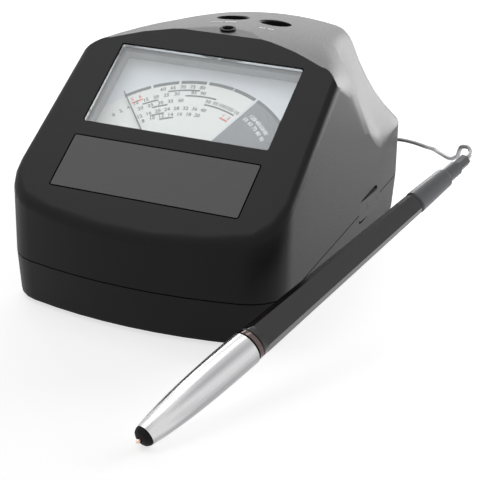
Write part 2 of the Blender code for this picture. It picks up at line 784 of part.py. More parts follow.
def tray_rings():
    """Outer and inner rings of the lower shell, from the bottom up and back down inside."""
    top = SEAM_Z - SEAM_GAP / 2
    low = BASE_BOTTOM_Z
    lip_outer = WALL - LIP_WALL
    levels = [
        (BASE_DRAFT + BASE_EDGE_RADIUS, low),
        (BASE_DRAFT + BASE_EDGE_RADIUS / 3, low + BASE_EDGE_RADIUS / 3),
        (BASE_DRAFT, low + BASE_EDGE_RADIUS),
        (0, top),
        (lip_outer, top),
        (lip_outer, SEAM_Z + LIP_HEIGHT),
        (WALL, SEAM_Z + LIP_HEIGHT),
        (WALL, top),
        (BASE_DRAFT + WALL, low + BASE_FLOOR),
    ]
    return [[(x, y, z) for x, y in plan_outline(inset)] for inset, z in levels]


def corner_places(places):
    return [(side * x, y) for x, y in places for side in (1, -1)]


def cylinder_tool(name, place_at, radius, low, high, steps=24):
    tool = new_object(name, disc(radius, low, high, steps))
    return place(tool, Matrix.Translation((*place_at, 0)))


def build_base(material):
    base = new_object("base_shell", lofted(tray_rings()), material)
    floor_top = BASE_BOTTOM_Z + BASE_FLOOR
    foot = floor_top - BASE_FLOOR / 2
    risers = []
    for at in corner_places(BOSS_PLACES):
        risers.append(cylinder_tool("tower", at, BOSS_RADIUS, foot, SEAM_Z - SEAM_GAP, 18))
    for at in board_posts():
        risers.append(cylinder_tool("post", at, POST_RADIUS, foot, BOARD_Z - TOUCH_GAP, 12))
    add(base, joined(risers))
    tools = [rocker_tool()]
    for at in corner_places(BOSS_PLACES):
        shank = SCREW_RADIUS + TOUCH_GAP
        head = SCREW_HEAD_RADIUS + TOUCH_GAP
        profile = [(0, -OVERRUN), (head, -OVERRUN), (head, SCREW_SEAT_Z), (shank, SCREW_SEAT_Z),
                   (shank, SEAM_Z + OVERRUN), (0, SEAM_Z + OVERRUN)]
        tools.append(place(new_object("screw_way", turned(profile, 16)), Matrix.Translation((*at, 0))))
    for at in corner_places(FOOT_PLACES):
        seat = BASE_BOTTOM_Z + FOOT_SEAT + TOUCH_GAP
        tools.append(cylinder_tool("seat", at, FOOT_RADIUS + TOUCH_GAP, -OVERRUN, seat, 16))
    cut(base, joined(tools))
    half_x = BAY_HALF_LENGTH + COVER_LEDGE + TOUCH_GAP
    half_y = BAY_HALF_WIDTH + COVER_LEDGE + TOUCH_GAP
    pocket_top = BASE_BOTTOM_Z + COVER_THICKNESS + TOUCH_GAP
    pocket = box((-half_x, BAY_Y - half_y, -OVERRUN), (half_x, BAY_Y + half_y + COVER_TRAVEL, pocket_top))
    cut(base, new_object("pocket", pocket))
    half_x = BAY_HALF_LENGTH - TOUCH_GAP
    half_y = BAY_HALF_WIDTH - TOUCH_GAP
    opening = box((-half_x, BAY_Y - half_y, -OVERRUN), (half_x, BAY_Y + half_y, floor_top + OVERRUN))
    return cut(base, new_object("opening", opening))


def board_posts():
    return [(side * (BOARD_HALF_WIDTH - POST_INSET), y) for side in (-1, 1)
            for y in (BOARD_FRONT_Y + POST_INSET, BOARD_REAR_Y - POST_INSET)]


def rocker_tool():
    outline = rounded_outline(ROCKER_LENGTH + 2 * ROCKER_MARGIN, ROCKER_HEIGHT + 2 * ROCKER_MARGIN,
                              ROCKER_CORNER + ROCKER_MARGIN)
    tool = new_object("rocker_tool", extruded(outline, -2 * WALL, 2 * OVERRUN))
    return place(tool, wall_frame(ROCKER_Y, ROCKER_CENTRE_Z))


def panel_tool(name, half_width, low_v, high_v, bottom, top, corner):
    """A block on the panel between two heights, with round corners."""
    outline = rounded_outline(2 * half_width, high_v - low_v, corner)
    tool = new_object(name, extruded(outline, bottom, top))
    return place(tool, panel_frame(0, (low_v + high_v) / 2))


def round_panel_edge(shell):
    """Round the edge where the sloping panel runs into the crown."""
    bm = bmesh.new()
    bm.from_mesh(shell.data)
    normal = Vector((0, -math.sin(PANEL_ANGLE), math.cos(PANEL_ANGLE)))
    flat = Vector((0, -math.sin(LAMP_FLAT_ANGLE), math.cos(LAMP_FLAT_ANGLE)))
    rim = []
    for edge in bm.edges:
        if len(edge.link_faces) != 2:
            continue
        on_panel = [face.normal.dot(normal) > math.cos(math.radians(1)) for face in edge.link_faces]
        on_flat = [face.normal.dot(flat) > math.cos(math.radians(1)) for face in edge.link_faces]
        middle = (edge.verts[0].co + edge.verts[1].co) / 2
        if sum(on_panel) == 1 and not any(on_flat) and middle.y > HUMP_CORNER_START_Y:
            rim.append(edge)
    bmesh.ops.bevel(bm, geom=rim, offset=PANEL_EDGE_RADIUS / 3, offset_type="OFFSET", segments=2,
                    profile=0.5, affect="EDGES", clamp_overlap=True)
    bm.to_mesh(shell.data)
    bm.free()


def build_upper(material):
    low = SEAM_Z + SEAM_GAP / 2
    shell = unit_solid("upper_shell", 0.0, low)
    shell.data.materials.append(material)
    hollow = unit_solid("hollow", WALL, low - OVERRUN)
    solids = []
    for at in corner_places(BOSS_PLACES):
        solids.append(cylinder_tool("boss", at, BOSS_RADIUS, low - 2 * OVERRUN, CROWN_Z, 18))
    for side in (-1, 1):
        well = new_object("well", disc(WELL_RADIUS + WELL_WALL, -WELL_DEPTH, WELL_DEPTH, 24))
        solids.append(place(well, crown_frame(side * WELL_SPACING / 2, WELL_Y)))
    cut(hollow, joined(solids))
    cut(shell, hollow)
    lip = WALL - LIP_WALL - TOUCH_GAP
    rabbet = extruded(plan_outline(lip), low - OVERRUN, SEAM_Z + LIP_HEIGHT + TOUCH_GAP)
    core = extruded(plan_outline(WALL + TOUCH_GAP), low - 2 * OVERRUN, SEAM_Z + 2 * LIP_HEIGHT)
    cut(shell, cut(new_object("rabbet", rabbet), new_object("core", core)))
    tools = [rocker_tool()]
    for side in (-1, 1):
        profile = [(0, -2 * WELL_DEPTH), (WELL_RADIUS, -2 * WELL_DEPTH), (WELL_RADIUS, -WELL_EDGE),
                   (WELL_RADIUS + WELL_EDGE, 0), (WELL_RADIUS + WELL_EDGE, OVERRUN), (0, OVERRUN)]
        bore = new_object("bore", turned(profile, 24))
        tools.append(place(bore, crown_frame(side * WELL_SPACING / 2, WELL_Y)))
    for at in corner_places(BOSS_PLACES):
        top = SCREW_SEAT_Z + SCREW_LENGTH + OVERRUN
        tools.append(cylinder_tool("thread", at, SCREW_RADIUS + TOUCH_GAP, low - OVERRUN, top, 12))
    tools.append(panel_tool("window", WINDOW_WIDTH / 2, WINDOW_LOW_V, WINDOW_HIGH_V, -2 * WALL, OVERRUN,
                            WINDOW_CORNER))
    tools.append(panel_tool("plate", PLATE_WIDTH / 2 + PLATE_GAP, PLATE_LOW_V - PLATE_GAP,
                            PLATE_HIGH_V + PLATE_GAP,
                            -PLATE_THICKNESS - TOUCH_GAP, OVERRUN, PLATE_CORNER + PLATE_GAP))
    lamp_hole = new_object("lamp_hole", disc(LAMP_HOLE_RADIUS, -2 * WALL, OVERRUN, 24))
    tools.append(place(lamp_hole, lamp_frame()))
    for x in (PROBE_SOCKET_X, ADAPTOR_SOCKET_X):
        hole = new_object("socket_hole", disc(SOCKET_RADIUS + TOUCH_GAP, -2 * WALL, 2 * OVERRUN, 24))
        tools.append(place(hole, socket_frame(x)))
    cut(shell, joined(tools))
    round_panel_edge(shell)
    return shell


def lamp_frame(depth=0.0):
    top = panel_frame(0, PANEL_LENGTH).translation
    height = top.z + (LAMP_Y - top.y) * math.tan(LAMP_FLAT_ANGLE)
    frame = Matrix.Translation((0, LAMP_Y, height)) @ Matrix.Rotation(LAMP_FLAT_ANGLE, 4, "X")
    return frame @ Matrix.Translation((0, 0, -depth))


def rear_wall_y(x):
    return BODY_LENGTH / 2 - REAR_BOW_RADIUS + math.sqrt(REAR_BOW_RADIUS ** 2 - x * x)


def socket_frame(x):
    """A frame on the rear wall whose Z axis points out of the unit."""
    return Matrix.Translation((x, rear_wall_y(x), SOCKET_Z)) @ Matrix.Rotation(math.radians(-90), 4, "X")


# Meter

def build_meter(clear, case_plastic, dial_paint, iron, copper, aluminium, brass, steel):
    half = WINDOW_WIDTH / 2 - TOUCH_GAP
    low = WINDOW_LOW_V + TOUCH_GAP
    high = WINDOW_HIGH_V - TOUCH_GAP
    flange_top = -WALL - TOUCH_GAP
    flange_low = flange_top - LENS_FLANGE
    lens = panel_tool("window_lens", half, low, high, flange_top - LENS_FLANGE / 2, -LENS_SINK,
                      WINDOW_CORNER)
    flange = panel_tool("flange", half + LENS_FLANGE_REACH, low - LENS_FLANGE_REACH,
                        high + LENS_FLANGE_REACH,
                        flange_low, flange_top, WINDOW_CORNER)
    add(lens, flange)
    lens.data.materials.append(clear)

    case_top = flange_low - TOUCH_GAP
    case = panel_tool("meter_case", CASE_HALF_WIDTH, CASE_LOW_V, CASE_HIGH_V, -CASE_DEPTH, case_top,
                      CASE_CORNER)
    floor = -CASE_DEPTH + CASE_WALL
    inside = panel_tool("inside", CASE_HALF_WIDTH - CASE_WALL, CASE_LOW_V + CASE_WALL,
                        CASE_HIGH_V - CASE_WALL,
                        floor, OVERRUN, CASE_CORNER - CASE_WALL / 2)
    cut(case, inside)
    dial_top = -DIAL_DEPTH
    dial_low = dial_top - DIAL_THICKNESS
    for side in (-1, 1):
        post = new_object("dial_post", disc(DIAL_POST_RADIUS, floor - CASE_WALL / 2, dial_low - TOUCH_GAP,
                                            16))
        add(case, place(post, panel_frame(side * DIAL_POST_X, DIAL_POST_V)))
    bearing = new_object("bearing", disc(SPINDLE_RADIUS + TOUCH_GAP, floor - BEARING_DEPTH, OVERRUN, 12))
    cut(case, place(bearing, panel_frame(0, PIVOT_V)))
    case.data.materials.append(case_plastic)

    inset = CASE_WALL + TOUCH_GAP
    dial = panel_tool("dial_plate", CASE_HALF_WIDTH - inset, DIAL_LOW_V, CASE_HIGH_V - inset, dial_low,
                      dial_top,
                      WINDOW_CORNER)
    dial.data.materials.append(dial_paint)

    outer_high = CASE_HIGH_V - inset
    frame_low = dial_top + TOUCH_GAP
    surround = panel_tool("dial_surround", CASE_HALF_WIDTH - inset, WINDOW_LOW_V, outer_high, frame_low,
                          case_top, WINDOW_CORNER)
    opening = panel_tool("dial_opening", WINDOW_WIDTH / 2, WINDOW_LOW_V - OVERRUN, WINDOW_HIGH_V,
                         frame_low - OVERRUN, case_top + OVERRUN, WINDOW_CORNER)
    cut(surround, opening)
    surround.data.materials.append(case_plastic)

    pivot = panel_frame(0, PIVOT_V)
    ring_low = floor + TOUCH_GAP
    ring_top = ring_low + RING_HEIGHT
    ring = new_object("magnet_yoke", tube(RING_INNER_RADIUS, RING_OUTER_RADIUS, ring_low, ring_top, 24),
                      iron)
    core_low = -CORE_TOP - CORE_HEIGHT
    add(ring, new_object("core", disc(CORE_RADIUS, core_low, -CORE_TOP, 24)))
    web_half = (RING_INNER_RADIUS + RING_OUTER_RADIUS) / 2
    web = box((-WEB_WIDTH / 2, -web_half, core_low + COIL_BAR),
              (WEB_WIDTH / 2, web_half, -CORE_TOP - COIL_BAR))
    add(ring, new_object("web", web))
    place(ring, pivot)

    coil_top = -CORE_TOP + COIL_CLEARANCE
    coil_low = core_low - COIL_CLEARANCE
    reach = CORE_RADIUS + COIL_CLEARANCE
    coil = new_object("moving_coil", box((-reach - COIL_WALL, -COIL_WIDTH / 2, coil_low - COIL_BAR),
                                         (reach + COIL_WALL, COIL_WIDTH / 2, coil_top + COIL_BAR)), copper)
    cut(coil, new_object("void", box((-reach, -COIL_WIDTH, coil_low), (reach, COIL_WIDTH, coil_top))))
    hub_low = dial_top + POINTER_LIFT + POINTER_THICKNESS / 2 - HUB_HEIGHT / 2
    hub_top = hub_low + HUB_HEIGHT
    bridge_low = -BRIDGE_TOP - BRIDGE_THICKNESS
    upper_pin = disc(SPINDLE_RADIUS, coil_top + COIL_BAR / 2, bridge_low + BEARING_DEPTH - TOUCH_GAP, 12)
    add(coil, new_object("upper_pin", upper_pin))
    lower_pin = disc(SPINDLE_RADIUS, floor - BEARING_DEPTH + TOUCH_GAP, coil_low - COIL_BAR / 2, 12)
    add(coil, new_object("lower_pin", lower_pin))
    rest = Matrix.Rotation(POINTER_REST_ANGLE - math.radians(90), 4, "Z")
    place(coil, pivot @ rest)

    needle = new_object("pointer_needle", disc(HUB_RADIUS, hub_low, hub_top, 18), aluminium)
    blade_low = dial_top + POINTER_LIFT
    width = POINTER_WIDTH / 2
    tip = width / 2
    outline = [(-width, -POINTER_TAIL), (width, -POINTER_TAIL), (width, 0), (tip, POINTER_LENGTH),
               (-tip, POINTER_LENGTH), (-width, 0)]
    add(needle, new_object("blade", extruded(outline, blade_low, blade_low + POINTER_THICKNESS)))
    weight = box((-COUNTERWEIGHT / 2, -POINTER_TAIL, blade_low),
                 (COUNTERWEIGHT / 2, -POINTER_TAIL + COUNTERWEIGHT / 2,
                                                                  hub_top))
    add(needle, new_object("weight", weight))
    cut(needle, new_object("spindle_hole",
                           disc(SPINDLE_RADIUS + TOUCH_GAP / 3, hub_low - OVERRUN, hub_top + OVERRUN, 12)))
    place(needle, pivot @ rest)

    bridge = new_object("pivot_bridge", box((-BRIDGE_REACH, -BRIDGE_WIDTH / 2, bridge_low),
                                            (BRIDGE_REACH, BRIDGE_WIDTH / 2, -BRIDGE_TOP)), brass)
    inner = RING_INNER_RADIUS + COIL_CLEARANCE
    for side in (-1, 1):
        ends = sorted((side * inner, side * BRIDGE_REACH))
        leg = box((ends[0], -BRIDGE_WIDTH / 2, ring_top + TOUCH_GAP),
                  (ends[1], BRIDGE_WIDTH / 2, bridge_low + TOUCH_GAP))
        add(bridge, new_object("leg", leg))
    cut(bridge, new_object("jewel", disc(SPINDLE_RADIUS + TOUCH_GAP, bridge_low - OVERRUN / 4,
                                         bridge_low + BEARING_DEPTH, 12)))
    place(bridge, pivot)

    turns = []
    steps = HAIRSPRING_TURNS * 10
    for step in range(steps + 1):
        share = step / steps
        angle = math.tau * HAIRSPRING_TURNS * share
        radius = HAIRSPRING_INNER + (HAIRSPRING_OUTER - HAIRSPRING_INNER) * share
        turns.append((radius * math.cos(angle), radius * math.sin(angle), -HAIRSPRING_DEPTH))
    spring = wire_object("hairspring", turns, HAIRSPRING_WIRE, 0, steel)
    place(spring, pivot)


def wire_object(name, points, radius, resolution, material):
    """A round wire or cable along points, with closed ends."""
    curve = bpy.data.curves.new(name, "CURVE")
    curve.dimensions = "3D"
    curve.bevel_depth = radius
    curve.bevel_resolution = resolution
    curve.use_fill_caps = True
    curve.render_resolution_u = 0
    spline = curve.splines.new("POLY")
    spline.points.add(len(points) - 1)
    for point, at in zip(spline.points, points):
        point.co = (*at, 1)
    spline.use_smooth = True
    curve.materials.append(material)
    thing = bpy.data.objects.new(name, curve)
    bpy.context.scene.collection.objects.link(thing)
    return thing


# Controls

def build_controls(black, grey, board_green, lamp_clear, steel):
    left = crown_frame(-WELL_SPACING / 2, WELL_Y)
    right = crown_frame(WELL_SPACING / 2, WELL_Y)
    radius = WELL_RADIUS - RUNNING_GAP
    flange_top = -WELL_DEPTH - TOUCH_GAP
    flange_low = flange_top - BUTTON_FLANGE
    profile = [(0, -BUTTON_STEM_DEPTH), (BUTTON_STEM_RADIUS, -BUTTON_STEM_DEPTH),
               (BUTTON_STEM_RADIUS, flange_low),
               (BUTTON_FLANGE_RADIUS, flange_low), (BUTTON_FLANGE_RADIUS, flange_top), (radius, flange_top),
               (radius, -CONTROL_SINK - BUTTON_DISH), (radius - BUTTON_DISH, -CONTROL_SINK),
               (radius - 3 * BUTTON_DISH, -CONTROL_SINK), (0, -CONTROL_SINK - BUTTON_DISH)]
    place(new_object("test_button", turned(profile, 24), grey), left)

    profile = [(0, -POT_SHAFT_DEPTH), (POT_SHAFT_RADIUS, -POT_SHAFT_DEPTH), (POT_SHAFT_RADIUS, -KNOB_DEPTH),
               (radius, -KNOB_DEPTH), (radius, -CONTROL_SINK - BUTTON_DISH), (radius - BUTTON_DISH,
                                                                              -CONTROL_SINK),
               (0, -CONTROL_SINK)]
    knob = new_object("calibration_knob", turned(profile, 24), grey)
    slot = box((-WELL_RADIUS, -KNOB_SLOT_WIDTH / 2, -CONTROL_SINK - KNOB_SLOT_DEPTH),
               (WELL_RADIUS, KNOB_SLOT_WIDTH / 2, 0))
    cut(knob, new_object("slot", slot))
    place(knob, right)

    board_top = -CONTROL_BOARD_DEPTH
    pot = new_object("potentiometer", disc(POT_RADIUS, board_top + TOUCH_GAP, -POT_TOP, 24), steel)
    cut(pot, new_object("pot_bore", disc(POT_SHAFT_RADIUS + RUNNING_GAP, -POT_SHAFT_DEPTH - TOUCH_GAP, 0,
                                         16)))
    place(pot, right)
    half = SWITCH_SIZE / 2
    switch = new_object("button_switch", box((-half, -half, board_top + TOUCH_GAP),
                                             (half, half, -SWITCH_TOP)), black)
    bore_low = -BUTTON_STEM_DEPTH - BUTTON_TRAVEL - TOUCH_GAP
    cut(switch, new_object("switch_bore", disc(BUTTON_STEM_RADIUS + RUNNING_GAP, bore_low, 0, 16)))
    place(switch, left)

    board = box((-CONTROL_BOARD_HALF_WIDTH, -CONTROL_BOARD_FRONT, board_top - BOARD_THICKNESS),
                (CONTROL_BOARD_HALF_WIDTH, CONTROL_BOARD_REAR, board_top))
    place(new_object("control_board", board, board_green), control_frame())

    profile = [(LAMP_RADIUS + TOUCH_GAP, -BEZEL_DEPTH), (LAMP_HOLE_RADIUS - TOUCH_GAP, -BEZEL_DEPTH),
               (LAMP_HOLE_RADIUS - TOUCH_GAP, TOUCH_GAP), (BEZEL_RADIUS, TOUCH_GAP),
               (BEZEL_RADIUS, TOUCH_GAP + BEZEL_HEIGHT / 2), (BEZEL_RADIUS - BEZEL_HEIGHT / 2,
                                                              TOUCH_GAP + BEZEL_HEIGHT),
               (LAMP_RADIUS + 2 * TOUCH_GAP, TOUCH_GAP + BEZEL_HEIGHT), (LAMP_RADIUS + TOUCH_GAP, 0)]
    place(new_object("lamp_bezel", turned(profile, 20), black), lamp_frame())
    top = -2 * LAMP_LEG
    flange_top = -BEZEL_DEPTH - TOUCH_GAP
    flange_low = flange_top - 2 * LAMP_LEG
    dome = [(LAMP_RADIUS * math.cos(math.radians(angle)),
             top - LAMP_RADIUS + LAMP_RADIUS * math.sin(math.radians(angle)))
            for angle in (0, 30, 60, 90)]
    dome[-1] = (0, dome[-1][1])
    profile = [(0, flange_low), (LAMP_FLANGE_RADIUS, flange_low), (LAMP_FLANGE_RADIUS, flange_top),
               (LAMP_RADIUS, flange_top)] + dome
    lamp = new_object("ready_lamp", turned(profile, 18), lamp_clear)
    for side in (-1, 1):
        x = side * LAMP_LEG_SPACING
        half = LAMP_LEG / 2
        leg = box((x - half, -half, flange_low - LAMP_LEG_LENGTH), (x + half, half, flange_low + half))
        add(lamp, new_object("lamp_leg", leg))
    place(lamp, lamp_frame())


def control_frame():
    """The control board lies square to both wells, at the mean height of their tops."""
    lift = crown_frame(WELL_SPACING / 2, WELL_Y).translation.z - crown_height(WELL_Y)
    return Matrix.Translation((0, 0, lift)) @ crown_frame(0, WELL_Y)


def rocker_frame():
    return wall_frame(ROCKER_Y, ROCKER_CENTRE_Z)


def build_rocker(black, grey):
    frame = rocker_frame()
    outline = rounded_outline(ROCKER_LENGTH, ROCKER_HEIGHT, ROCKER_CORNER)
    low = ROCKER_PROUD - ROCKER_THICKNESS
    rocker = new_object("power_rocker", extruded(outline, low, ROCKER_PROUD), grey)
    trunk = box((-ROCKER_TRUNK_LENGTH / 2, -ROCKER_TRUNK_HEIGHT / 2, -ROCKER_TRUNK_DEPTH),
                (ROCKER_TRUNK_LENGTH / 2, ROCKER_TRUNK_HEIGHT / 2, low + TOUCH_GAP))
    add(rocker, new_object("trunk", trunk))
    pivot = Matrix.Translation((0, 0, -ROCKER_PIVOT_DEPTH))
    tilt = Matrix.Rotation(-ROCKER_TILT, 4, "Y")
    rocker.data.transform(pivot.inverted())
    place(rocker, frame @ pivot @ tilt)
    half_x = SWITCH_BODY_LENGTH / 2
    half_y = SWITCH_BODY_HEIGHT / 2
    below_seam = SEAM_Z - ROCKER_CENTRE_Z + half_y
    draft = BASE_DRAFT * below_seam / (SEAM_Z - BASE_BOTTOM_Z - BASE_EDGE_RADIUS)
    front = -WALL - TOUCH_GAP - draft
    body = new_object("rocker_switch", box((-half_x, -half_y, front - SWITCH_BODY_DEPTH),
                                           (half_x, half_y, front)), black)
    slot_x = ROCKER_TRUNK_LENGTH / 2 + 2 * RUNNING_GAP
    slot_y = ROCKER_TRUNK_HEIGHT / 2 + RUNNING_GAP
    slot = box((-slot_x, -slot_y, -ROCKER_TRUNK_DEPTH - 2 * RUNNING_GAP), (slot_x, slot_y, 0))
    cut(body, new_object("slot", slot))
    place(body, frame)


# Battery bay

def build_battery(black, cell_metal, contact_metal):
    half_x = BAY_HALF_LENGTH
    half_y = BAY_HALF_WIDTH
    low = BASE_BOTTOM_Z + BASE_FLOOR + TOUCH_GAP
    cell_z = BASE_BOTTOM_Z + COVER_THICKNESS + 2 * TOUCH_GAP + CELL_RADIUS
    ceiling = cell_z + CELL_RADIUS + TOUCH_GAP
    tray = new_object("battery_tray", box((-half_x - BAY_WALL, BAY_Y - half_y - BAY_WALL, low),
                                          (half_x + BAY_WALL, BAY_Y + half_y + BAY_WALL,
                                           ceiling + BAY_WALL)), black)
    cut(tray, new_object("bay", box((-half_x, BAY_Y - half_y, -OVERRUN),
                                    (half_x, BAY_Y + half_y, ceiling))))
    for index in range(CELL_COUNT):
        y = BAY_Y + (index - (CELL_COUNT - 1) / 2) * (2 * CELL_RADIUS + CELL_GAP / 2)
        start = -CELL_LENGTH / 2 - CELL_NIPPLE / 2
        profile = [(0, start), (CELL_RADIUS - TOUCH_GAP, start), (CELL_RADIUS, start + TOUCH_GAP),
                   (CELL_RADIUS, start + CELL_LENGTH - TOUCH_GAP), (CELL_RADIUS - TOUCH_GAP,
                                                                    start + CELL_LENGTH),
                   (CELL_NIPPLE_RADIUS, start + CELL_LENGTH), (CELL_NIPPLE_RADIUS,
                                                               start + CELL_LENGTH + CELL_NIPPLE),
                   (0, start + CELL_LENGTH + CELL_NIPPLE)]
        cell = new_object(f"cell_{index + 1}", turned(profile, 18), cell_metal)
        heading = math.radians(90 if index % 2 == 0 else -90)
        place(cell, Matrix.Translation((0, y, cell_z)) @ Matrix.Rotation(heading, 4, "Y"))
    for side, name in ((-1, "contact_left"), (1, "contact_right")):
        ends = sorted((side * (half_x - TOUCH_GAP), side * (half_x - TOUCH_GAP - CONTACT_THICKNESS)))
        strip = box((ends[0], BAY_Y - half_y + CELL_GAP, CONTACT_LOW),
                    (ends[1], BAY_Y + half_y - CELL_GAP, cell_z + CELL_RADIUS))
        new_object(name, strip, contact_metal)
    half_x = BAY_HALF_LENGTH + COVER_LEDGE
    half_y = BAY_HALF_WIDTH + COVER_LEDGE
    cover = new_object("battery_cover", box((-half_x, BAY_Y - half_y, BASE_BOTTOM_Z),
                                            (half_x, BAY_Y + half_y,
                                             BASE_BOTTOM_Z + COVER_THICKNESS)), black)
    for index in range(COVER_RIDGE_COUNT):
        y = BAY_Y - half_y / 2 - index * 3 * COVER_RIDGE_WIDTH
        ridge = box((-half_x / 3, y, BASE_BOTTOM_Z - COVER_RIDGE), (half_x / 3, y + COVER_RIDGE_WIDTH,
                                                                      BASE_BOTTOM_Z + COVER_RIDGE))
        add(cover, new_object("ridge", ridge))


def build_small_parts(rubber, steel, board_green, chip_black, capacitor_blue, plate_gloss, black, nickel):
    for index, at in enumerate(corner_places(FOOT_PLACES)):
        top = BASE_BOTTOM_Z + FOOT_SEAT
        profile = [(0, 0), (FOOT_RADIUS - FOOT_SEAT / 2, 0), (FOOT_RADIUS, FOOT_SEAT / 2),
                   (FOOT_RADIUS, top), (0, top)]
        place(new_object(f"foot_{index + 1}", turned(profile, 16), rubber), Matrix.Translation((*at, 0)))
    for index, at in enumerate(corner_places(BOSS_PLACES)):
        seat = SCREW_SEAT_Z - TOUCH_GAP
        profile = [(0, seat - SCREW_HEAD_HEIGHT), (SCREW_HEAD_RADIUS, seat - SCREW_HEAD_HEIGHT),
                   (SCREW_HEAD_RADIUS, seat),
                   (SCREW_RADIUS, seat), (SCREW_RADIUS, seat + SCREW_LENGTH), (0, seat + SCREW_LENGTH)]
        screw = new_object(f"case_screw_{index + 1}", turned(profile, 12), steel)
        drive_top = seat - SCREW_HEAD_HEIGHT + SCREW_DRIVE_DEPTH
        cut(screw, new_object("drive", disc(SCREW_DRIVE_RADIUS, 0, drive_top, 6)))
        place(screw, Matrix.Translation((*at, 0)))
    board = box((-BOARD_HALF_WIDTH, BOARD_FRONT_Y, BOARD_Z),
                (BOARD_HALF_WIDTH, BOARD_REAR_Y, BOARD_Z + BOARD_THICKNESS))
    new_object("main_board", board, board_green)
    top = BOARD_Z + BOARD_THICKNESS + TOUCH_GAP
    size = CHIP_SIZE
    x = CHIP_X
    y = (BOARD_FRONT_Y + BOARD_REAR_Y) / 2
    new_object("amplifier_chip", box((x - size[0] / 2, y - size[1] / 2, top),
                                     (x + size[0] / 2, y + size[1] / 2, top + size[2])),
               chip_black)
    can = disc(CAPACITOR_RADIUS, top, top + CAPACITOR_HEIGHT, 24)
    place(new_object("reservoir_capacitor", can, capacitor_blue), Matrix.Translation((CAPACITOR_X, y, 0)))
    plate = panel_tool("name_plate", PLATE_WIDTH / 2, PLATE_LOW_V, PLATE_HIGH_V, -PLATE_THICKNESS, 0,
                       PLATE_CORNER)
    plate.data.materials.append(plate_gloss)
    for name, x, bore in (("probe_socket", PROBE_SOCKET_X, SOCKET_BORE),
                          ("adaptor_socket", ADAPTOR_SOCKET_X, ADAPTOR_BORE)):
        bow = SOCKET_BODY_RADIUS * (abs(x) + SOCKET_BODY_RADIUS) / REAR_BOW_RADIUS
        inner = -WALL - TOUCH_GAP - bow
        rim = TOUCH_GAP * 2
        profile = [(0, -SOCKET_BORE_DEPTH), (bore, -SOCKET_BORE_DEPTH), (bore, rim + SOCKET_RIM),
                   (SOCKET_RADIUS - SOCKET_RIM / 2, rim + SOCKET_RIM), (SOCKET_RADIUS,
                                                                        rim + SOCKET_RIM / 2),
                   (SOCKET_RADIUS, inner), (SOCKET_BODY_RADIUS, inner),
                   (SOCKET_BODY_RADIUS, inner - SOCKET_BODY_DEPTH), (0, inner - SOCKET_BODY_DEPTH)]
        if bore == ADAPTOR_BORE:
            profile[0:1] = [(0, rim), (ADAPTOR_PIN, rim), (ADAPTOR_PIN, -SOCKET_BORE_DEPTH)]
        place(new_object(name, turned(profile, 20), nickel if bore == SOCKET_BORE else black),
              socket_frame(x))
    start = TOUCH_GAP * 2 + SOCKET_RIM + TOUCH_GAP
    radius = SOCKET_BORE - RUNNING_GAP
    end = start + PLUG_LENGTH
    profile = [(0, start - PLUG_PIN_LENGTH), (radius - PLUG_EDGE, start - PLUG_PIN_LENGTH),
               (radius, start - PLUG_PIN_LENGTH + PLUG_EDGE), (radius, start), (PLUG_RADIUS - PLUG_EDGE,
                                                                                start),
               (PLUG_RADIUS, start + PLUG_EDGE), (PLUG_RADIUS, end - PLUG_EDGE), (PLUG_RADIUS - PLUG_EDGE,
                                                                                  end),
               (RELIEF_FRONT_RADIUS, end), (RELIEF_REAR_RADIUS, end + RELIEF_LENGTH), (0,
                                                                                       end + RELIEF_LENGTH)]
    place(new_object("cable_plug", turned(profile, 20), black), socket_frame(PROBE_SOCKET_X))


# Pen probe

def pen_frame():
    return aimed(PEN_POINT, PEN_REAR - PEN_POINT)


def cone_radius(t):
    share = (t - CONE_START) / (CONE_END - CONE_START)
    straight = CONE_FRONT_RADIUS + (CONE_REAR_RADIUS - CONE_FRONT_RADIUS) * share
    return straight + CONE_BULGE * math.sin(math.radians(180) * share ** CONE_FULLNESS)


def facet_ring(radius, t, flat_share):
    """A ring that is round at 0 and fully faceted at 1."""
    points = []
    count = BARREL_SIDES * 3
    sector = math.tau / BARREL_SIDES
    for step in range(count):
        angle = math.tau * step / count
        across = (angle % sector) - sector / 2
        faceted = radius * math.cos(sector / 2) / math.cos(across)
        r = radius + (faceted - radius) * flat_share
        points.append((r * math.cos(angle), r * math.sin(angle), t))
    return points


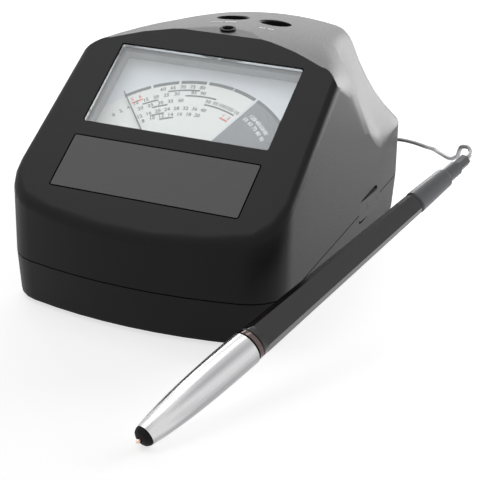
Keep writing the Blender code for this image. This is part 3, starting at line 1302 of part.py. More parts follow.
def build_pen(chrome, black, barrel_black, copper, nickel, steel, sleeve_grey):
    frame = pen_frame()
    flange = INSERT_END + TOUCH_GAP
    rear = flange + PIN_FLANGE
    profile = [(0, -PIN_PROUD), (PIN_RADIUS / 2, -PIN_PROUD), (PIN_RADIUS, -PIN_PROUD + PIN_RADIUS / 2),
               (PIN_RADIUS, flange), (PIN_FLANGE_RADIUS, flange), (PIN_FLANGE_RADIUS, rear), (0, rear)]
    place(new_object("probe_pin", turned(profile, 16), copper), frame)

    neck = CONE_START - TOUCH_GAP
    profile = [(INSERT_BORE, 0)] + list(INSERT_NOSE) + [(INSERT_SPIGOT_RADIUS, neck),
                                                        (INSERT_SPIGOT_RADIUS, INSERT_END),
                                                        (INSERT_BORE, INSERT_END)]
    place(new_object("tip_insert", turned(profile, 20), black), frame)

    outer = []
    inner = []
    for step in range(CONE_STEPS + 1):
        t = CONE_START + (CONE_END - CONE_START) * step / CONE_STEPS
        outer.append((cone_radius(t), t))
        if step % 3 == 0:
            inner.append((max(cone_radius(t) - CONE_WALL, INSERT_SPIGOT_RADIUS + TOUCH_GAP), t))
    place(new_object("nose_cone", turned(outer + inner[::-1], 24), chrome), frame)

    points = []
    steps = TIP_SPRING_TURNS * 8
    start = rear + TOUCH_GAP + TIP_SPRING_WIRE
    for step in range(steps + 1):
        angle = math.tau * TIP_SPRING_TURNS * step / steps
        points.append((TIP_SPRING_RADIUS * math.cos(angle), TIP_SPRING_RADIUS * math.sin(angle),
                       start + TIP_SPRING_LENGTH * step / steps))
    place(wire_object("tip_spring", points, TIP_SPRING_WIRE, 0, steel), frame)
    low = start + TIP_SPRING_LENGTH + TIP_SPRING_WIRE + TOUCH_GAP
    place(new_object("heater_rod", disc(HEATER_RADIUS, low, low + HEATER_LENGTH, 20), copper), frame)

    ring = tube(FRONT_SPIGOT_RADIUS + TOUCH_GAP, COLLAR_RADIUS, COLLAR_START, COLLAR_END, 24)
    place(new_object("collar_ring", ring, nickel), frame)

    shapes = [
        (FRONT_SPIGOT_RADIUS, BARREL_START - COLLAR_END + COLLAR_START - FRONT_SPIGOT_LENGTH, 0),
        (FRONT_SPIGOT_RADIUS, BARREL_START, 0),
        (BARREL_FRONT_RADIUS - BARREL_NOSE / 3, BARREL_START, 0),
        (BARREL_FRONT_RADIUS, BARREL_START + BARREL_NOSE / 3, 0),
        (BARREL_FRONT_RADIUS, BARREL_START + BARREL_NOSE, 0.6),
        (BARREL_FRONT_RADIUS, BARREL_START + 2 * BARREL_NOSE, 1),
        (BARREL_REAR_RADIUS, BARREL_END, 1),
        (REAR_SPIGOT_RADIUS, BARREL_END, 0),
        (REAR_SPIGOT_RADIUS, BARREL_END + REAR_SPIGOT_LENGTH, 0),
    ]
    bm = lofted([facet_ring(*shape) for shape in shapes])
    barrel = new_object("pen_barrel", bm, barrel_black, math.radians(20))
    cut(barrel, new_object("wire_bore", disc(BARREL_BORE, CONE_START, PEN_END, 20)))
    place(barrel, frame)

    spigot_start = SLEEVE_END - PEN_PLUG_SPIGOT
    lip = PEN_PLUG_RADIUS - 2 * TOUCH_GAP
    profile = [(SLEEVE_BORE, SLEEVE_START), (SLEEVE_RADIUS - SLEEVE_CHAMFER, SLEEVE_START),
               (SLEEVE_RADIUS, SLEEVE_START + SLEEVE_CHAMFER),
               (SLEEVE_REAR_RADIUS, SLEEVE_END - SLEEVE_CHAMFER),
               (SLEEVE_REAR_RADIUS - SLEEVE_CHAMFER, SLEEVE_END), (lip, SLEEVE_END), (lip, spigot_start),
               (SLEEVE_BORE, spigot_start - CONE_WALL)]
    place(new_object("pen_sleeve", turned(profile, 24), sleeve_grey), frame)

    wire = WIRE_RADIUS + TOUCH_GAP
    spigot = lip - TOUCH_GAP
    neck = SLEEVE_END + TOUCH_GAP
    profile = [(wire, spigot_start), (spigot, spigot_start), (spigot, neck), (PEN_PLUG_RADIUS, neck),
               (PEN_PLUG_RADIUS, PEN_PLUG_END - SLEEVE_CHAMFER), (PEN_PLUG_RADIUS - SLEEVE_CHAMFER,
                                                                  PEN_PLUG_END),
               (wire, PEN_PLUG_END)]
    place(new_object("pen_plug", turned(profile, 20), black), frame)
    low = PEN_PLUG_END + TOUCH_GAP
    block = new_object("pen_end", disc(PEN_END_RADIUS, low, PEN_END, 6), black, math.radians(20))
    place(block, frame)
    low = HEATER_LENGTH + start + TIP_SPRING_LENGTH + TIP_SPRING_WIRE + 2 * TOUCH_GAP
    wire_rod = disc(WIRE_RADIUS, low, PEN_PLUG_END - TOUCH_GAP, 12)
    place(new_object("pen_wire", wire_rod, copper), frame)


# Cable

def coil_points():
    """A piled coil that winds in and out, layer over layer, from its outer end on the table."""
    points = []
    loops = COIL_LOOPS_IN_LAYER * COIL_LAYERS
    steps = loops * LOOP_POINTS
    span = COIL_LOOPS_IN_LAYER * LOOP_POINTS
    outer = COIL_INNER_RADIUS + COIL_LOOPS_IN_LAYER * COIL_PITCH
    for step in range(steps + 1):
        layer = step / span
        inward = layer % 2
        share = inward if inward <= 1 else 2 - inward
        radius = outer - (outer - COIL_INNER_RADIUS) * share
        nearest = round(layer)
        away = (step - nearest * span) / (LOOP_POINTS / 4)
        if 0 < nearest < COIL_LAYERS and abs(away) < 1:
            level = nearest - 1 / 2 + away / 2
        else:
            level = min(math.floor(layer), COIL_LAYERS - 1)
        angle = COIL_END_ANGLE - math.tau * step / LOOP_POINTS
        points.append(COIL_CENTRE + Vector((radius * math.cos(angle), radius * math.sin(angle),
                                            level * COIL_PITCH)))
    diameter = 2 * CABLE_RADIUS
    first = (points[0] - points[1]).normalized() * diameter
    last = (points[-1] - points[-2]).normalized() * diameter
    first.z = 0
    last.z = 0
    return [points[0] + first] + points + [points[-1] + last]


def least_gap(points):
    """Least clearance between turns of one tube, taken between points that are not neighbours along it."""
    best = math.inf
    reach = LOOP_POINTS // 2
    for index, point in enumerate(points):
        for other in points[index + reach:]:
            best = min(best, (point - other).length)
    return best - 2 * CABLE_RADIUS


def smooth_route(route, start_way, end_way):
    """Points along a smooth curve through a route, closer together over its first, tightly curved length."""
    route = [Vector(point) for point in route]
    ways = []
    for index, point in enumerate(route):
        if index == 0:
            way = Vector(start_way).normalized() * (route[1] - point).length
        elif index == len(route) - 1:
            way = Vector(end_way).normalized() * (point - route[-2]).length
        else:
            before = (point - route[index - 1])
            after = (route[index + 1] - point)
            way = (before.normalized() + after.normalized()).normalized() * min(before.length, after.length)
        ways.append(way)
    dense = []
    for index in range(len(route) - 1):
        a, b, m, n = route[index], route[index + 1], ways[index], ways[index + 1]
        for step in range(40):
            t = step / 40
            dense.append(a * (2 * t ** 3 - 3 * t ** 2 + 1) + m * (t ** 3 - 2 * t ** 2 + t)
                         + b * (3 * t ** 2 - 2 * t ** 3) + n * (t ** 3 - t ** 2))
    dense.append(route[-1])
    points = [dense[0]]
    run = 0
    since = 0
    for before, after in zip(dense, dense[1:]):
        step = (after - before).length
        run += step
        since += step
        if since >= (FINE_STEP if run < FINE_LENGTH else COARSE_STEP):
            points.append(after)
            since = 0
    if since < FINE_STEP / 2:
        points.pop()
    points.append(dense[-1])
    return points


def build_cable(cable_black):
    coil = coil_points()
    gap = least_gap(coil)
    print(f"cable coil: least gap to itself {gap * 1000:.2f} mm")
    wire_object("cable_coil", coil, CABLE_RADIUS, 1, cable_black)

    way = (PEN_REAR - PEN_POINT).normalized()
    start = pen_frame() @ Vector((0, 0, PEN_END + TOUCH_GAP))
    arrive = (coil[-2] - coil[-1]).normalized()
    end = coil[-1] - arrive * TOUCH_GAP
    points = smooth_route([start, start + way * 2 * CABLE_RADIUS, *PEN_ROUTE, end], way, arrive)
    wire_object("cable_to_pen", points, CABLE_RADIUS, 2, cable_black)

    leave = (coil[0] - coil[1]).normalized()
    leave.z = 0
    start = coil[0] + leave.normalized() * TOUCH_GAP
    socket = socket_frame(PROBE_SOCKET_X)
    plug_end = 3 * TOUCH_GAP + SOCKET_RIM + PLUG_LENGTH + RELIEF_LENGTH
    end = socket @ Vector((0, 0, plug_end + TOUCH_GAP))
    points = smooth_route([start, *JACK_ROUTE, end], leave, (0, -1, 0))
    wire_object("cable_to_plug", points, CABLE_RADIUS, 2, cable_black)


def build():
    clear_scene()
    shell_black = make_material("shell_black", (0.045, 0.046, 0.050), 0.55)
    clear = make_material("clear_lens", (0.75, 0.80, 0.82), 0.05)
    case_grey = make_material("case_grey", (0.55, 0.56, 0.58), 0.5)
    dial_paint = make_material("dial_paint", (0.85, 0.86, 0.84), 0.6)
    iron = make_material("yoke_iron", (0.25, 0.25, 0.26), 0.45, 1.0)
    copper = make_material("copper", (0.72, 0.35, 0.20), 0.35, 1.0)
    aluminium = make_material("pointer_black", (0.03, 0.03, 0.03), 0.5)
    brass = make_material("brass", (0.75, 0.58, 0.28), 0.35, 1.0)
    steel = make_material("steel", (0.55, 0.55, 0.56), 0.35, 1.0)
    nickel = make_material("nickel", (0.62, 0.58, 0.55), 0.3, 1.0)
    chrome = make_material("chrome", (0.80, 0.80, 0.81), 0.15, 1.0)
    control_grey = make_material("control_black", (0.02, 0.02, 0.022), 0.5)
    plastic_black = make_material("plastic_black", (0.03, 0.03, 0.032), 0.5)
    barrel_black = make_material("barrel_black", (0.015, 0.014, 0.014), 0.2)
    sleeve_grey = make_material("sleeve_grey", (0.07, 0.07, 0.075), 0.45)
    rubber = make_material("rubber", (0.025, 0.025, 0.025), 0.8)
    board_green = make_material("board_green", (0.05, 0.22, 0.10), 0.5)
    lamp_clear = make_material("lamp_clear", (0.55, 0.65, 0.55), 0.2)
    plate_gloss = make_material("plate_gloss", (0.055, 0.055, 0.062), 0.25)
    cell_metal = make_material("cell_jacket", (0.35, 0.36, 0.38), 0.4, 0.6)
    capacitor_blue = make_material("capacitor_blue", (0.04, 0.08, 0.25), 0.4)
    cable_black = make_material("cable_black", (0.04, 0.04, 0.042), 0.35)

    build_base(shell_black)
    build_upper(shell_black)
    build_meter(clear, case_grey, dial_paint, iron, copper, aluminium, brass, steel)
    build_controls(plastic_black, control_grey, board_green, lamp_clear, steel)
    build_rocker(plastic_black, control_grey)
    build_battery(plastic_black, cell_metal, nickel)
    build_small_parts(rubber, steel, board_green, plastic_black, capacitor_blue, plate_gloss,
                      plastic_black, nickel)
    build_pen(chrome, plastic_black, barrel_black, copper, nickel, steel, sleeve_grey)
    build_cable(cable_black)
    centre_part()


def centre_part():
    """Move everything so that the origin is on the table under the middle of the unit and its pen."""
    graph = bpy.context.evaluated_depsgraph_get()
    corners = []
    for thing in bpy.context.scene.objects:
        if not thing.name.startswith("cable_"):
            mesh = thing.evaluated_get(graph).to_mesh()
            corners += [thing.matrix_world @ vert.co for vert in mesh.vertices]
            thing.evaluated_get(graph).to_mesh_clear()
    middle = []
    for axis in (0, 1):
        values = [point[axis] for point in corners]
        middle.append((min(values) + max(values)) / 2)
    for thing in bpy.context.scene.objects:
        thing.location.x -= middle[0]
        thing.location.y -= middle[1]
    print(f"middle of the unit moved to {-middle[0] * 1000:.3f}, {-middle[1] * 1000:.3f} mm")


build()
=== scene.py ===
import math

import bmesh
import bpy
from mathutils import Matrix, Vector
from mathutils.bvhtree import BVHTree


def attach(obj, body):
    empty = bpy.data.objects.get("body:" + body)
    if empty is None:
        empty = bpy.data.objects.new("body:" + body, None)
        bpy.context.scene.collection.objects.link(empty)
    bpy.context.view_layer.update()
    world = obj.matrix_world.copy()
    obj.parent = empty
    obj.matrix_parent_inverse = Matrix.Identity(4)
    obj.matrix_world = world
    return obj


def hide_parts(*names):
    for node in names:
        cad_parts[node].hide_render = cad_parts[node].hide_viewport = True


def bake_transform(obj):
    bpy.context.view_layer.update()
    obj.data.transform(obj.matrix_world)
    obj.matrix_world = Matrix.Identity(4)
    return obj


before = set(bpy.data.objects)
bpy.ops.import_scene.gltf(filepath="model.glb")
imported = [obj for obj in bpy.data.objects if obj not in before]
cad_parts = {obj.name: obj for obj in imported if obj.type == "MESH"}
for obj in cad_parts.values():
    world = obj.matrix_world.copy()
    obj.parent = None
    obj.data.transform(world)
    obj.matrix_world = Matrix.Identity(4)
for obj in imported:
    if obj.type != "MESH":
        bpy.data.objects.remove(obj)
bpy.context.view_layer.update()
print("frame loaded:", len(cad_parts), "nodes")

mm = 0.001
weldDistance = 0.002 * mm  # corners nearer than this are one corner
unitMiddle = Vector((-0.020472, 0.031455, 0))  # middle of the unit's plan: the places below count from it


# small helpers

def linear(hexColour):
    # sRGB hex to linear RGBA
    out = []
    for start in (1, 3, 5):
        value = int(hexColour[start:start + 2], 16) / 255
        out.append(value / 12.92 if value <= 0.04045 else ((value + 0.055) / 1.055) ** 2.4)
    return (*out, 1.0)


def addNode(tree, kind, values=None, links=None, **settings):
    # one node with its settings, its socket values and what it is fed from
    node = tree.nodes.new("ShaderNode" + kind)
    for key, value in settings.items():
        setattr(node, key, value)
    for key, value in (values or {}).items():
        node.inputs[key].default_value = value
    for key, source in (links or {}).items():
        tree.links.new(source, node.inputs[key])
    return node


def meshObject(name, bm, material, body, smooth=None):
    # bmesh into a piece that rides on a body, with its place in its mesh
    bmesh.ops.remove_doubles(bm, verts=bm.verts, dist=weldDistance)
    bmesh.ops.recalc_face_normals(bm, faces=bm.faces)
    mesh = bpy.data.meshes.new(name)
    bm.to_mesh(mesh)
    bm.free()
    if smooth is not None:
        mesh.shade_smooth()
        mesh.set_sharp_from_angle(angle=math.radians(smooth))
    mesh.materials.append(material)
    piece = bpy.data.objects.new(name, mesh)
    bpy.context.scene.collection.objects.link(piece)
    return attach(piece, body)


# camera, solved from the outline of the unit in the photograph

view = {"azimuth": 23.67, "elevation": 23.49, "roll": 0.89, "lens": 113.4,
        "sensor": 36, "near": 0.01, "far": 20,
        "place": (0.213370, -0.469200, 0.228200)}  # from the middle of the unit


def makeCamera():
    a, e, r = (math.radians(view[key]) for key in ("azimuth", "elevation", "roll"))
    back = Vector((math.sin(a) * math.cos(e), -math.cos(a) * math.cos(e), math.sin(e)))
    right = Vector((math.cos(a), math.sin(a), 0))
    up = back.cross(right)
    across = right * math.cos(r) + up * math.sin(r)
    upright = up * math.cos(r) - right * math.sin(r)
    data = bpy.data.cameras.new("camera")
    data.sensor_width = view["sensor"]
    data.lens = view["lens"]
    data.clip_start = view["near"]
    data.clip_end = view["far"]
    camera = bpy.data.objects.new("camera", data)
    bpy.context.scene.collection.objects.link(camera)
    turn = Matrix((across, upright, back)).transposed().to_4x4()
    camera.matrix_world = Matrix.Translation(unitMiddle + Vector(view["place"])) @ turn
    bpy.context.scene.camera = camera


makeCamera()
print("camera made")


# materials: the moulded and painted finishes, then the metals, then the ones with a pattern of their own

finishes = {
    # black ABS, spark-eroded mould: a fine matt grain that breaks up the highlight
    "mouldedAbs": {"slot": "shell_black", "colour": "#0d0d0f", "second": "#111113", "rough": (0.42, 0.52),
                   "grain": 0.5, "bump": 0.12, "specular": 0.19},
    # grey polystyrene, satin mould: the meter's case
    "caseStyrene": {"slot": "case_grey", "colour": "#909296", "second": "#9fa1a5", "rough": (0.40, 0.55),
                    "grain": 0.8, "bump": 0.05, "specular": 0.5},
    # black nylon for switches, sockets and the cable's plug: slightly glossier than the shell
    "mouldedNylon": {"slot": "plastic_black", "colour": "#131315", "second": "#1b1b1d", "rough": (0.35, 0.5),
                     "grain": 0.5, "bump": 0.08, "specular": 0.5},
    # matt black ABS of the button and knob, and the rocker to match the case
    "controlAbs": {"slot": "control_black", "colour": "#19191b", "second": "#1f1f21", "rough": (0.45, 0.55),
                   "grain": 0.4, "bump": 0.08, "specular": 0.35},
    # black enamel baked on the aluminium pointer: smooth, no sparkle
    "pointerEnamel": {"slot": "pointer_black", "colour": "#1c1c1e", "second": "#262628", "rough": (0.4, 0.5),
                      "grain": 0.3, "bump": 0.03, "specular": 0.5},
    # polished black acrylic of the faceted barrel: sharp long reflections, faintly warm in the shade
    "barrelAcrylic": {"slot": "barrel_black", "colour": "#100e0e", "second": "#191513", "rough": (0.14, 0.22),
                      "grain": 2.5, "bump": 0.015, "specular": 0.55},
    # satin ABS of the pen's rear sleeve, plug and end: a soft broad sheen
    "sleeveAbs": {"slot": "sleeve_grey", "nodes": ("pen_plug", "pen_end"), "colour": "#55565a",
                  "second": "#616266", "rough": (0.30, 0.42), "grain": 0.4, "bump": 0.06, "specular": 0.6},
    # moulded rubber feet: dull, dusty black
    "footRubber": {"slot": "rubber", "colour": "#1a1a1a", "second": "#232323", "rough": (0.75, 0.9),
                   "grain": 0.9, "bump": 0.15, "specular": 0.4},
    # polycarbonate sheet printed black on its back, bare: a shade glossier than the panel round it
    "backPrintedSheet": {"slot": "plate_gloss", "colour": "#1e1e20", "second": "#252527",
                         "rough": (0.30, 0.38), "grain": 0.6, "bump": 0.05, "specular": 0.4},
    # shrunk PVC jacket of the cells: thin glossy film
    "cellJacket": {"slot": "cell_jacket", "colour": "#4c4e54", "second": "#5a5d63", "rough": (0.25, 0.4),
                   "grain": 3.0, "bump": 0.02, "specular": 0.5},
    # the same nylon, dead matt: the lamp's bezel and the pen's insert stay black against the shine round them
    "mattNylon": {"nodes": ("lamp_bezel", "tip_insert"), "colour": "#070708", "second": "#0c0c0d",
                  "rough": (0.55, 0.7), "grain": 0.4, "bump": 0.08, "specular": 0.2},
    # blue shrink sleeve of the capacitor
    "capacitorSleeve": {"slot": "capacitor_blue", "colour": "#1f2f63", "second": "#263a78",
                        "rough": (0.25, 0.4), "grain": 1.5, "bump": 0.03, "specular": 0.5},
}

metals = {
    # oxide-grey soft iron of the yoke and core
    "yokeIron": {"slot": "yoke_iron", "colour": "#6f6f72", "second": "#7d7d80", "rough": (0.4, 0.55),
                 "grain": 0.6},
    # rolled spring brass
    "rolledBrass": {"slot": "brass", "colour": "#c9a964", "second": "#d5b772", "rough": (0.28, 0.4),
                    "grain": 0.5},
    # zinc-plated steel screws and drawn spring wire
    "zincSteel": {"slot": "steel", "colour": "#b4b4b6", "second": "#c4c4c6", "rough": (0.25, 0.4),
                  "grain": 0.7},
    # nickel plate, faintly pink beside the chrome
    "nickelPlate": {"slot": "nickel", "colour": "#c6b4ac", "second": "#d6c5bd", "rough": (0.18, 0.3),
                    "grain": 1.2},
    # black nickel of the collar: a dark mirror, faintly pink where it catches a lamp
    "blackNickel": {"nodes": ("collar_ring",), "colour": "#5d5351", "second": "#6b605d",
                    "rough": (0.08, 0.14), "grain": 1.2},
    # rose-gold flash on the probe pin: pale, with a warm edge
    "pinPlate": {"nodes": ("probe_pin",), "colour": "#e2c3b2", "second": "#ecd2c3", "rough": (0.15, 0.25),
                 "grain": 0.6},
    # enamelled copper of the windings and the heater
    "bareCopper": {"slot": "copper", "colour": "#c98763", "second": "#dc9d78", "rough": (0.25, 0.4),
                   "grain": 0.6},
}

# light and dark: the two tones of the chrome's painted reflection bands
chromeLook = {"light": "#d6d6d7", "dark": "#a8a8aa", "streak": 0.5 * mm, "run": 60, "rough": (0.18, 0.34)}
dialLook = {"ivory": "#ebebe6", "cool": "#dfe2e6", "fieldRadius": 43.4 * mm, "fieldEnd": 64.9,
            "grain": 0.35 * mm}
maskLook = {"green": "#1d5836", "trace": "#2f7a4b", "row": 2.5 * mm}
# pale: a painted highlight on the cable's end near the pen, fading into the dark of the jacket further away
cableLook = {"dark": "#0e0e10", "pale": "#c9c9cc", "paintedHighlightTo": 52 * mm, "darkFrom": 70 * mm}
inks = {"grey": "#5a5d61", "darkGrey": "#5a5d61", "wedge": "#808387", "red": "#e0635c", "white": "#f2f2f2"}

panelSlope = math.radians(33.1)
panelFrame = (Matrix.Translation(unitMiddle + Vector((0, -75, 35.2)) * mm)
              @ Matrix.Rotation(panelSlope, 4, "X"))
pivotV = 28.3 * mm
# middle of the pointer's swing, on the dial
dialFrame = panelFrame @ Matrix.Translation((0, pivotV, -9.9 * mm))

penPoint = unitMiddle + Vector((37.9, -138.0, 2.95)) * mm
penRear = unitMiddle + Vector((89.9, 4.2, 50.1)) * mm


def newMaterial(name):
    material = bpy.data.materials.new(name)
    material.use_nodes = True
    return material, material.node_tree, material.node_tree.nodes["Principled BSDF"]


def grainMaterial(name, spec, metallic=0.0):
    # two close tones and a roughness that wander on a slow noise, with the grain as a fine bump
    material, tree, shader = newMaterial(name)
    shader.inputs["Metallic"].default_value = metallic
    if not metallic:
        shader.inputs["Specular IOR Level"].default_value = spec["specular"]
    place = addNode(tree, "TexCoord")
    slow = addNode(tree, "TexNoise", {"Scale": 1 / (spec["grain"] * 18 * mm), "Detail": 3.0},
                   {"Vector": place.outputs["Object"]})
    fine = addNode(tree, "TexNoise", {"Scale": 1 / (spec["grain"] * mm), "Detail": 4.0, "Roughness": 0.6},
                   {"Vector": place.outputs["Object"]})
    tone = addNode(tree, "Mix", {6: linear(spec["colour"]), 7: linear(spec["second"])},
                   {0: slow.outputs["Fac"]}, data_type="RGBA")
    tree.links.new(tone.outputs[2], shader.inputs["Base Color"])
    rough = addNode(tree, "MapRange", {"From Min": 0.3, "From Max": 0.7, "To Min": spec["rough"][0],
                                       "To Max": spec["rough"][1]}, {"Value": fine.outputs["Fac"]})
    tree.links.new(rough.outputs["Result"], shader.inputs["Roughness"])
    bump = addNode(tree, "Bump", {"Strength": spec.get("bump", 0.04), "Distance": 0.05 * mm},
                   {"Height": fine.outputs["Fac"]})
    tree.links.new(bump.outputs["Normal"], shader.inputs["Normal"])
    return material


def acrylicMaterial():
    # cast acrylic, polished: clear with bright cut edges, a few soft wipe marks in its gloss
    material, tree, shader = newMaterial("castAcrylic")
    shader.inputs["Base Color"].default_value = linear("#f7fafb")
    shader.inputs["IOR"].default_value = 1.49
    shader.inputs["Transmission Weight"].default_value = 1.0
    place = addNode(tree, "TexCoord")
    wipes = addNode(tree, "TexNoise", {"Scale": 1 / (9 * mm), "Detail": 3.0, "Distortion": 1.5},
                    {"Vector": place.outputs["Object"]})
    rough = addNode(tree, "MapRange", {"From Min": 0.35, "From Max": 0.7, "To Min": 0.0, "To Max": 0.01},
                    {"Value": wipes.outputs["Fac"]})
    tree.links.new(rough.outputs["Result"], shader.inputs["Roughness"])
    rays = addNode(tree, "LightPath")
    clear = addNode(tree, "BsdfTransparent", {"Color": linear("#f2f4f5")})
    both = addNode(tree, "MixShader", None, {0: rays.outputs["Is Shadow Ray"], 1: shader.outputs[0],
                                             2: clear.outputs[0]})
    tree.links.new(both.outputs[0], tree.nodes["Material Output"].inputs["Surface"])
    return material


def dialMaterial():
    # matt enamel on sheet: cool white round the outside, ivory inside the arc, a very fine eggshell
    material, tree, shader = newMaterial("dialEnamel")
    shader.inputs["Roughness"].default_value = 0.55
    shader.inputs["Specular IOR Level"].default_value = 0.3
    place = addNode(tree, "TexCoord")
    flat = addNode(tree, "Mapping", {"Location": dialFrame.translation, "Rotation": (panelSlope, 0, 0),
                                     "Scale": (1, 1, 1e6)}, {"Vector": place.outputs["Object"]},
                   vector_type="TEXTURE")
    reach = addNode(tree, "VectorMath", None, {0: flat.outputs[0]}, operation="LENGTH")
    inside = addNode(tree, "MapRange", {"From Min": dialLook["fieldRadius"] + 0.1 * mm,
                                        "From Max": dialLook["fieldRadius"]},
                                        {"Value": reach.outputs["Value"]})
    edge = math.radians(dialLook["fieldEnd"])
    side = addNode(tree, "VectorMath", {1: (-math.sin(edge), math.cos(edge), 0)}, {0: flat.outputs[0]},
                   operation="DOT_PRODUCT")
    left = addNode(tree, "MapRange", {"From Min": 0.0, "From Max": 0.1 * mm},
                   {"Value": side.outputs["Value"]})
    both = addNode(tree, "Math", None, {0: inside.outputs["Result"], 1: left.outputs["Result"]},
                   operation="MULTIPLY")
    field = addNode(tree, "Mix", {6: linear(dialLook["cool"]), 7: linear(dialLook["ivory"])},
                    {0: both.outputs[0]}, data_type="RGBA")
    eggshell = addNode(tree, "TexNoise", {"Scale": 1 / dialLook["grain"], "Detail": 2.0},
                       {"Vector": place.outputs["Object"]})
    shade = addNode(tree, "MapRange", {"From Min": 0.3, "From Max": 0.7, "To Min": 0.97, "To Max": 1.0},
                    {"Value": eggshell.outputs["Fac"]})
    tone = addNode(tree, "VectorMath", None, {0: field.outputs[2], "Scale": shade.outputs["Result"]},
                   operation="SCALE")
    tree.links.new(tone.outputs[0], shader.inputs["Base Color"])
    bump = addNode(tree, "Bump", {"Strength": 0.04, "Distance": 0.05 * mm},
                   {"Height": eggshell.outputs["Fac"]})
    tree.links.new(bump.outputs["Normal"], shader.inputs["Normal"])
    return material


def chromeMaterial():
    # bright chrome over a lengthwise polish: long soft streaks from nose to collar in its roughness and bump,
    # and painted reflection streaks as broad lighter and darker bands in its colour
    # (real polishing lines are 0.05 mm apart, drawn ten times as coarse so that they show)
    material, tree, shader = newMaterial("polishedChrome")
    shader.inputs["Metallic"].default_value = 1.0
    way = (penRear - penPoint).to_track_quat("Z", "Y").to_euler()
    place = addNode(tree, "TexCoord")
    along = addNode(tree, "Mapping", {"Location": penPoint, "Rotation": way,
                                      "Scale": (1, 1, chromeLook["run"])},
                    {"Vector": place.outputs["Object"]}, vector_type="TEXTURE")
    streaks = addNode(tree, "TexNoise", {"Scale": 1 / chromeLook["streak"], "Detail": 3.0, "Roughness": 0.65},
                      {"Vector": along.outputs[0]})
    # painted reflection: broad bands along the pen that mix the lighter and darker colour
    broad = addNode(tree, "TexNoise", {"Scale": 1 / (7 * chromeLook["streak"]), "Detail": 1.0},
                    {"Vector": along.outputs[0]})
    paintedReflectionShare = addNode(tree, "MapRange", {"From Min": 0.36, "From Max": 0.6}, {"Value": broad.outputs["Fac"]})
    tone = addNode(tree, "Mix", {6: linear(chromeLook["dark"]), 7: linear(chromeLook["light"])},
                   {0: paintedReflectionShare.outputs["Result"]}, data_type="RGBA")
    tree.links.new(tone.outputs[2], shader.inputs["Base Color"])
    rough = addNode(tree, "MapRange", {"From Min": 0.35, "From Max": 0.65, "To Min": chromeLook["rough"][0],
                                       "To Max": chromeLook["rough"][1]}, {"Value": streaks.outputs["Fac"]})
    tree.links.new(rough.outputs["Result"], shader.inputs["Roughness"])
    bump = addNode(tree, "Bump", {"Strength": 0.12, "Distance": 0.02 * mm},
                   {"Height": streaks.outputs["Fac"]})
    tree.links.new(bump.outputs["Normal"], shader.inputs["Normal"])
    return material


def boardMaterial():
    # green solder mask on glass-epoxy: copper traces show through as lighter lines
    material, tree, shader = newMaterial("solderMask")
    shader.inputs["Roughness"].default_value = 0.35
    place = addNode(tree, "TexCoord")
    traces = addNode(tree, "TexBrick", {"Color1": linear(maskLook["green"]), "Color2": linear("#1a4f31"),
                                        "Mortar": linear(maskLook["trace"]),
                                        "Scale": 1 / (4 * maskLook["row"]),
                                        "Mortar Size": 0.03, "Brick Width": 1.1, "Row Height": 0.25},
                     {"Vector": place.outputs["Object"]})
    tree.links.new(traces.outputs["Color"], shader.inputs["Base Color"])
    bump = addNode(tree, "Bump", {"Strength": 0.2, "Distance": 0.035 * mm}, {"Height": traces.outputs["Fac"]})
    tree.links.new(bump.outputs["Normal"], shader.inputs["Normal"])
    return material


def lampMaterial():
    # water-clear epoxy of the lamp: reads as a pale bead with a cloudy middle
    material, tree, shader = newMaterial("castEpoxy")
    shader.inputs["Roughness"].default_value = 0.18
    shader.inputs["IOR"].default_value = 1.55
    shader.inputs["Transmission Weight"].default_value = 0.25
    place = addNode(tree, "TexCoord")
    cloud = addNode(tree, "TexNoise", {"Scale": 1 / (1.5 * mm), "Detail": 2.0},
                    {"Vector": place.outputs["Object"]})
    tone = addNode(tree, "Mix", {6: linear("#d2d0cc"), 7: linear("#f0eeea")}, {0: cloud.outputs["Fac"]},
                   data_type="RGBA")
    tree.links.new(tone.outputs[2], shader.inputs["Base Color"])
    return material


def cableMaterial():
    # soft PVC jacket: satin gloss with slow draw marks; pale near the pen as a painted highlight, dark
    # elsewhere
    material, tree, shader = newMaterial("softVinyl")
    shader.inputs["Specular IOR Level"].default_value = 0.4
    place = addNode(tree, "TexCoord")
    away = addNode(tree, "VectorMath", {1: unitMiddle + Vector(cable["penEnd"]) * mm},
                   {0: place.outputs["Object"]}, operation="DISTANCE")
    # painted highlight: the colour is pale close to the pen's end and dark further along
    share = addNode(tree, "MapRange", {"From Min": cableLook["paintedHighlightTo"], "From Max": cableLook["darkFrom"]},
                    {"Value": away.outputs["Value"]}, interpolation_type="SMOOTHSTEP")
    tone = addNode(tree, "Mix", {6: linear(cableLook["pale"]), 7: linear(cableLook["dark"])},
                   {0: share.outputs["Result"]}, data_type="RGBA")
    tree.links.new(tone.outputs[2], shader.inputs["Base Color"])
    draw = addNode(tree, "TexNoise", {"Scale": 1 / (2 * mm), "Detail": 2.0},
                   {"Vector": place.outputs["Object"]})
    rough = addNode(tree, "MapRange", {"To Min": 0.22, "To Max": 0.4}, {"Value": draw.outputs["Fac"]})
    tree.links.new(rough.outputs["Result"], shader.inputs["Roughness"])
    return material


def inkMaterial(name, colour):
    # screen-printing ink: dead matt, slightly uneven in its cover
    material, tree, shader = newMaterial(name)
    shader.inputs["Roughness"].default_value = 0.7
    shader.inputs["Specular IOR Level"].default_value = 0.25
    place = addNode(tree, "TexCoord")
    cover = addNode(tree, "TexNoise", {"Scale": 1 / (0.6 * mm), "Detail": 3.0},
                    {"Vector": place.outputs["Object"]})
    shade = addNode(tree, "MapRange", {"From Min": 0.3, "From Max": 0.7, "To Min": 0.88, "To Max": 1.0},
                    {"Value": cover.outputs["Fac"]})
    tone = addNode(tree, "VectorMath", {0: linear(colour)[:3]}, {"Scale": shade.outputs["Result"]},
                   operation="SCALE")
    tree.links.new(tone.outputs[0], shader.inputs["Base Color"])
    return material


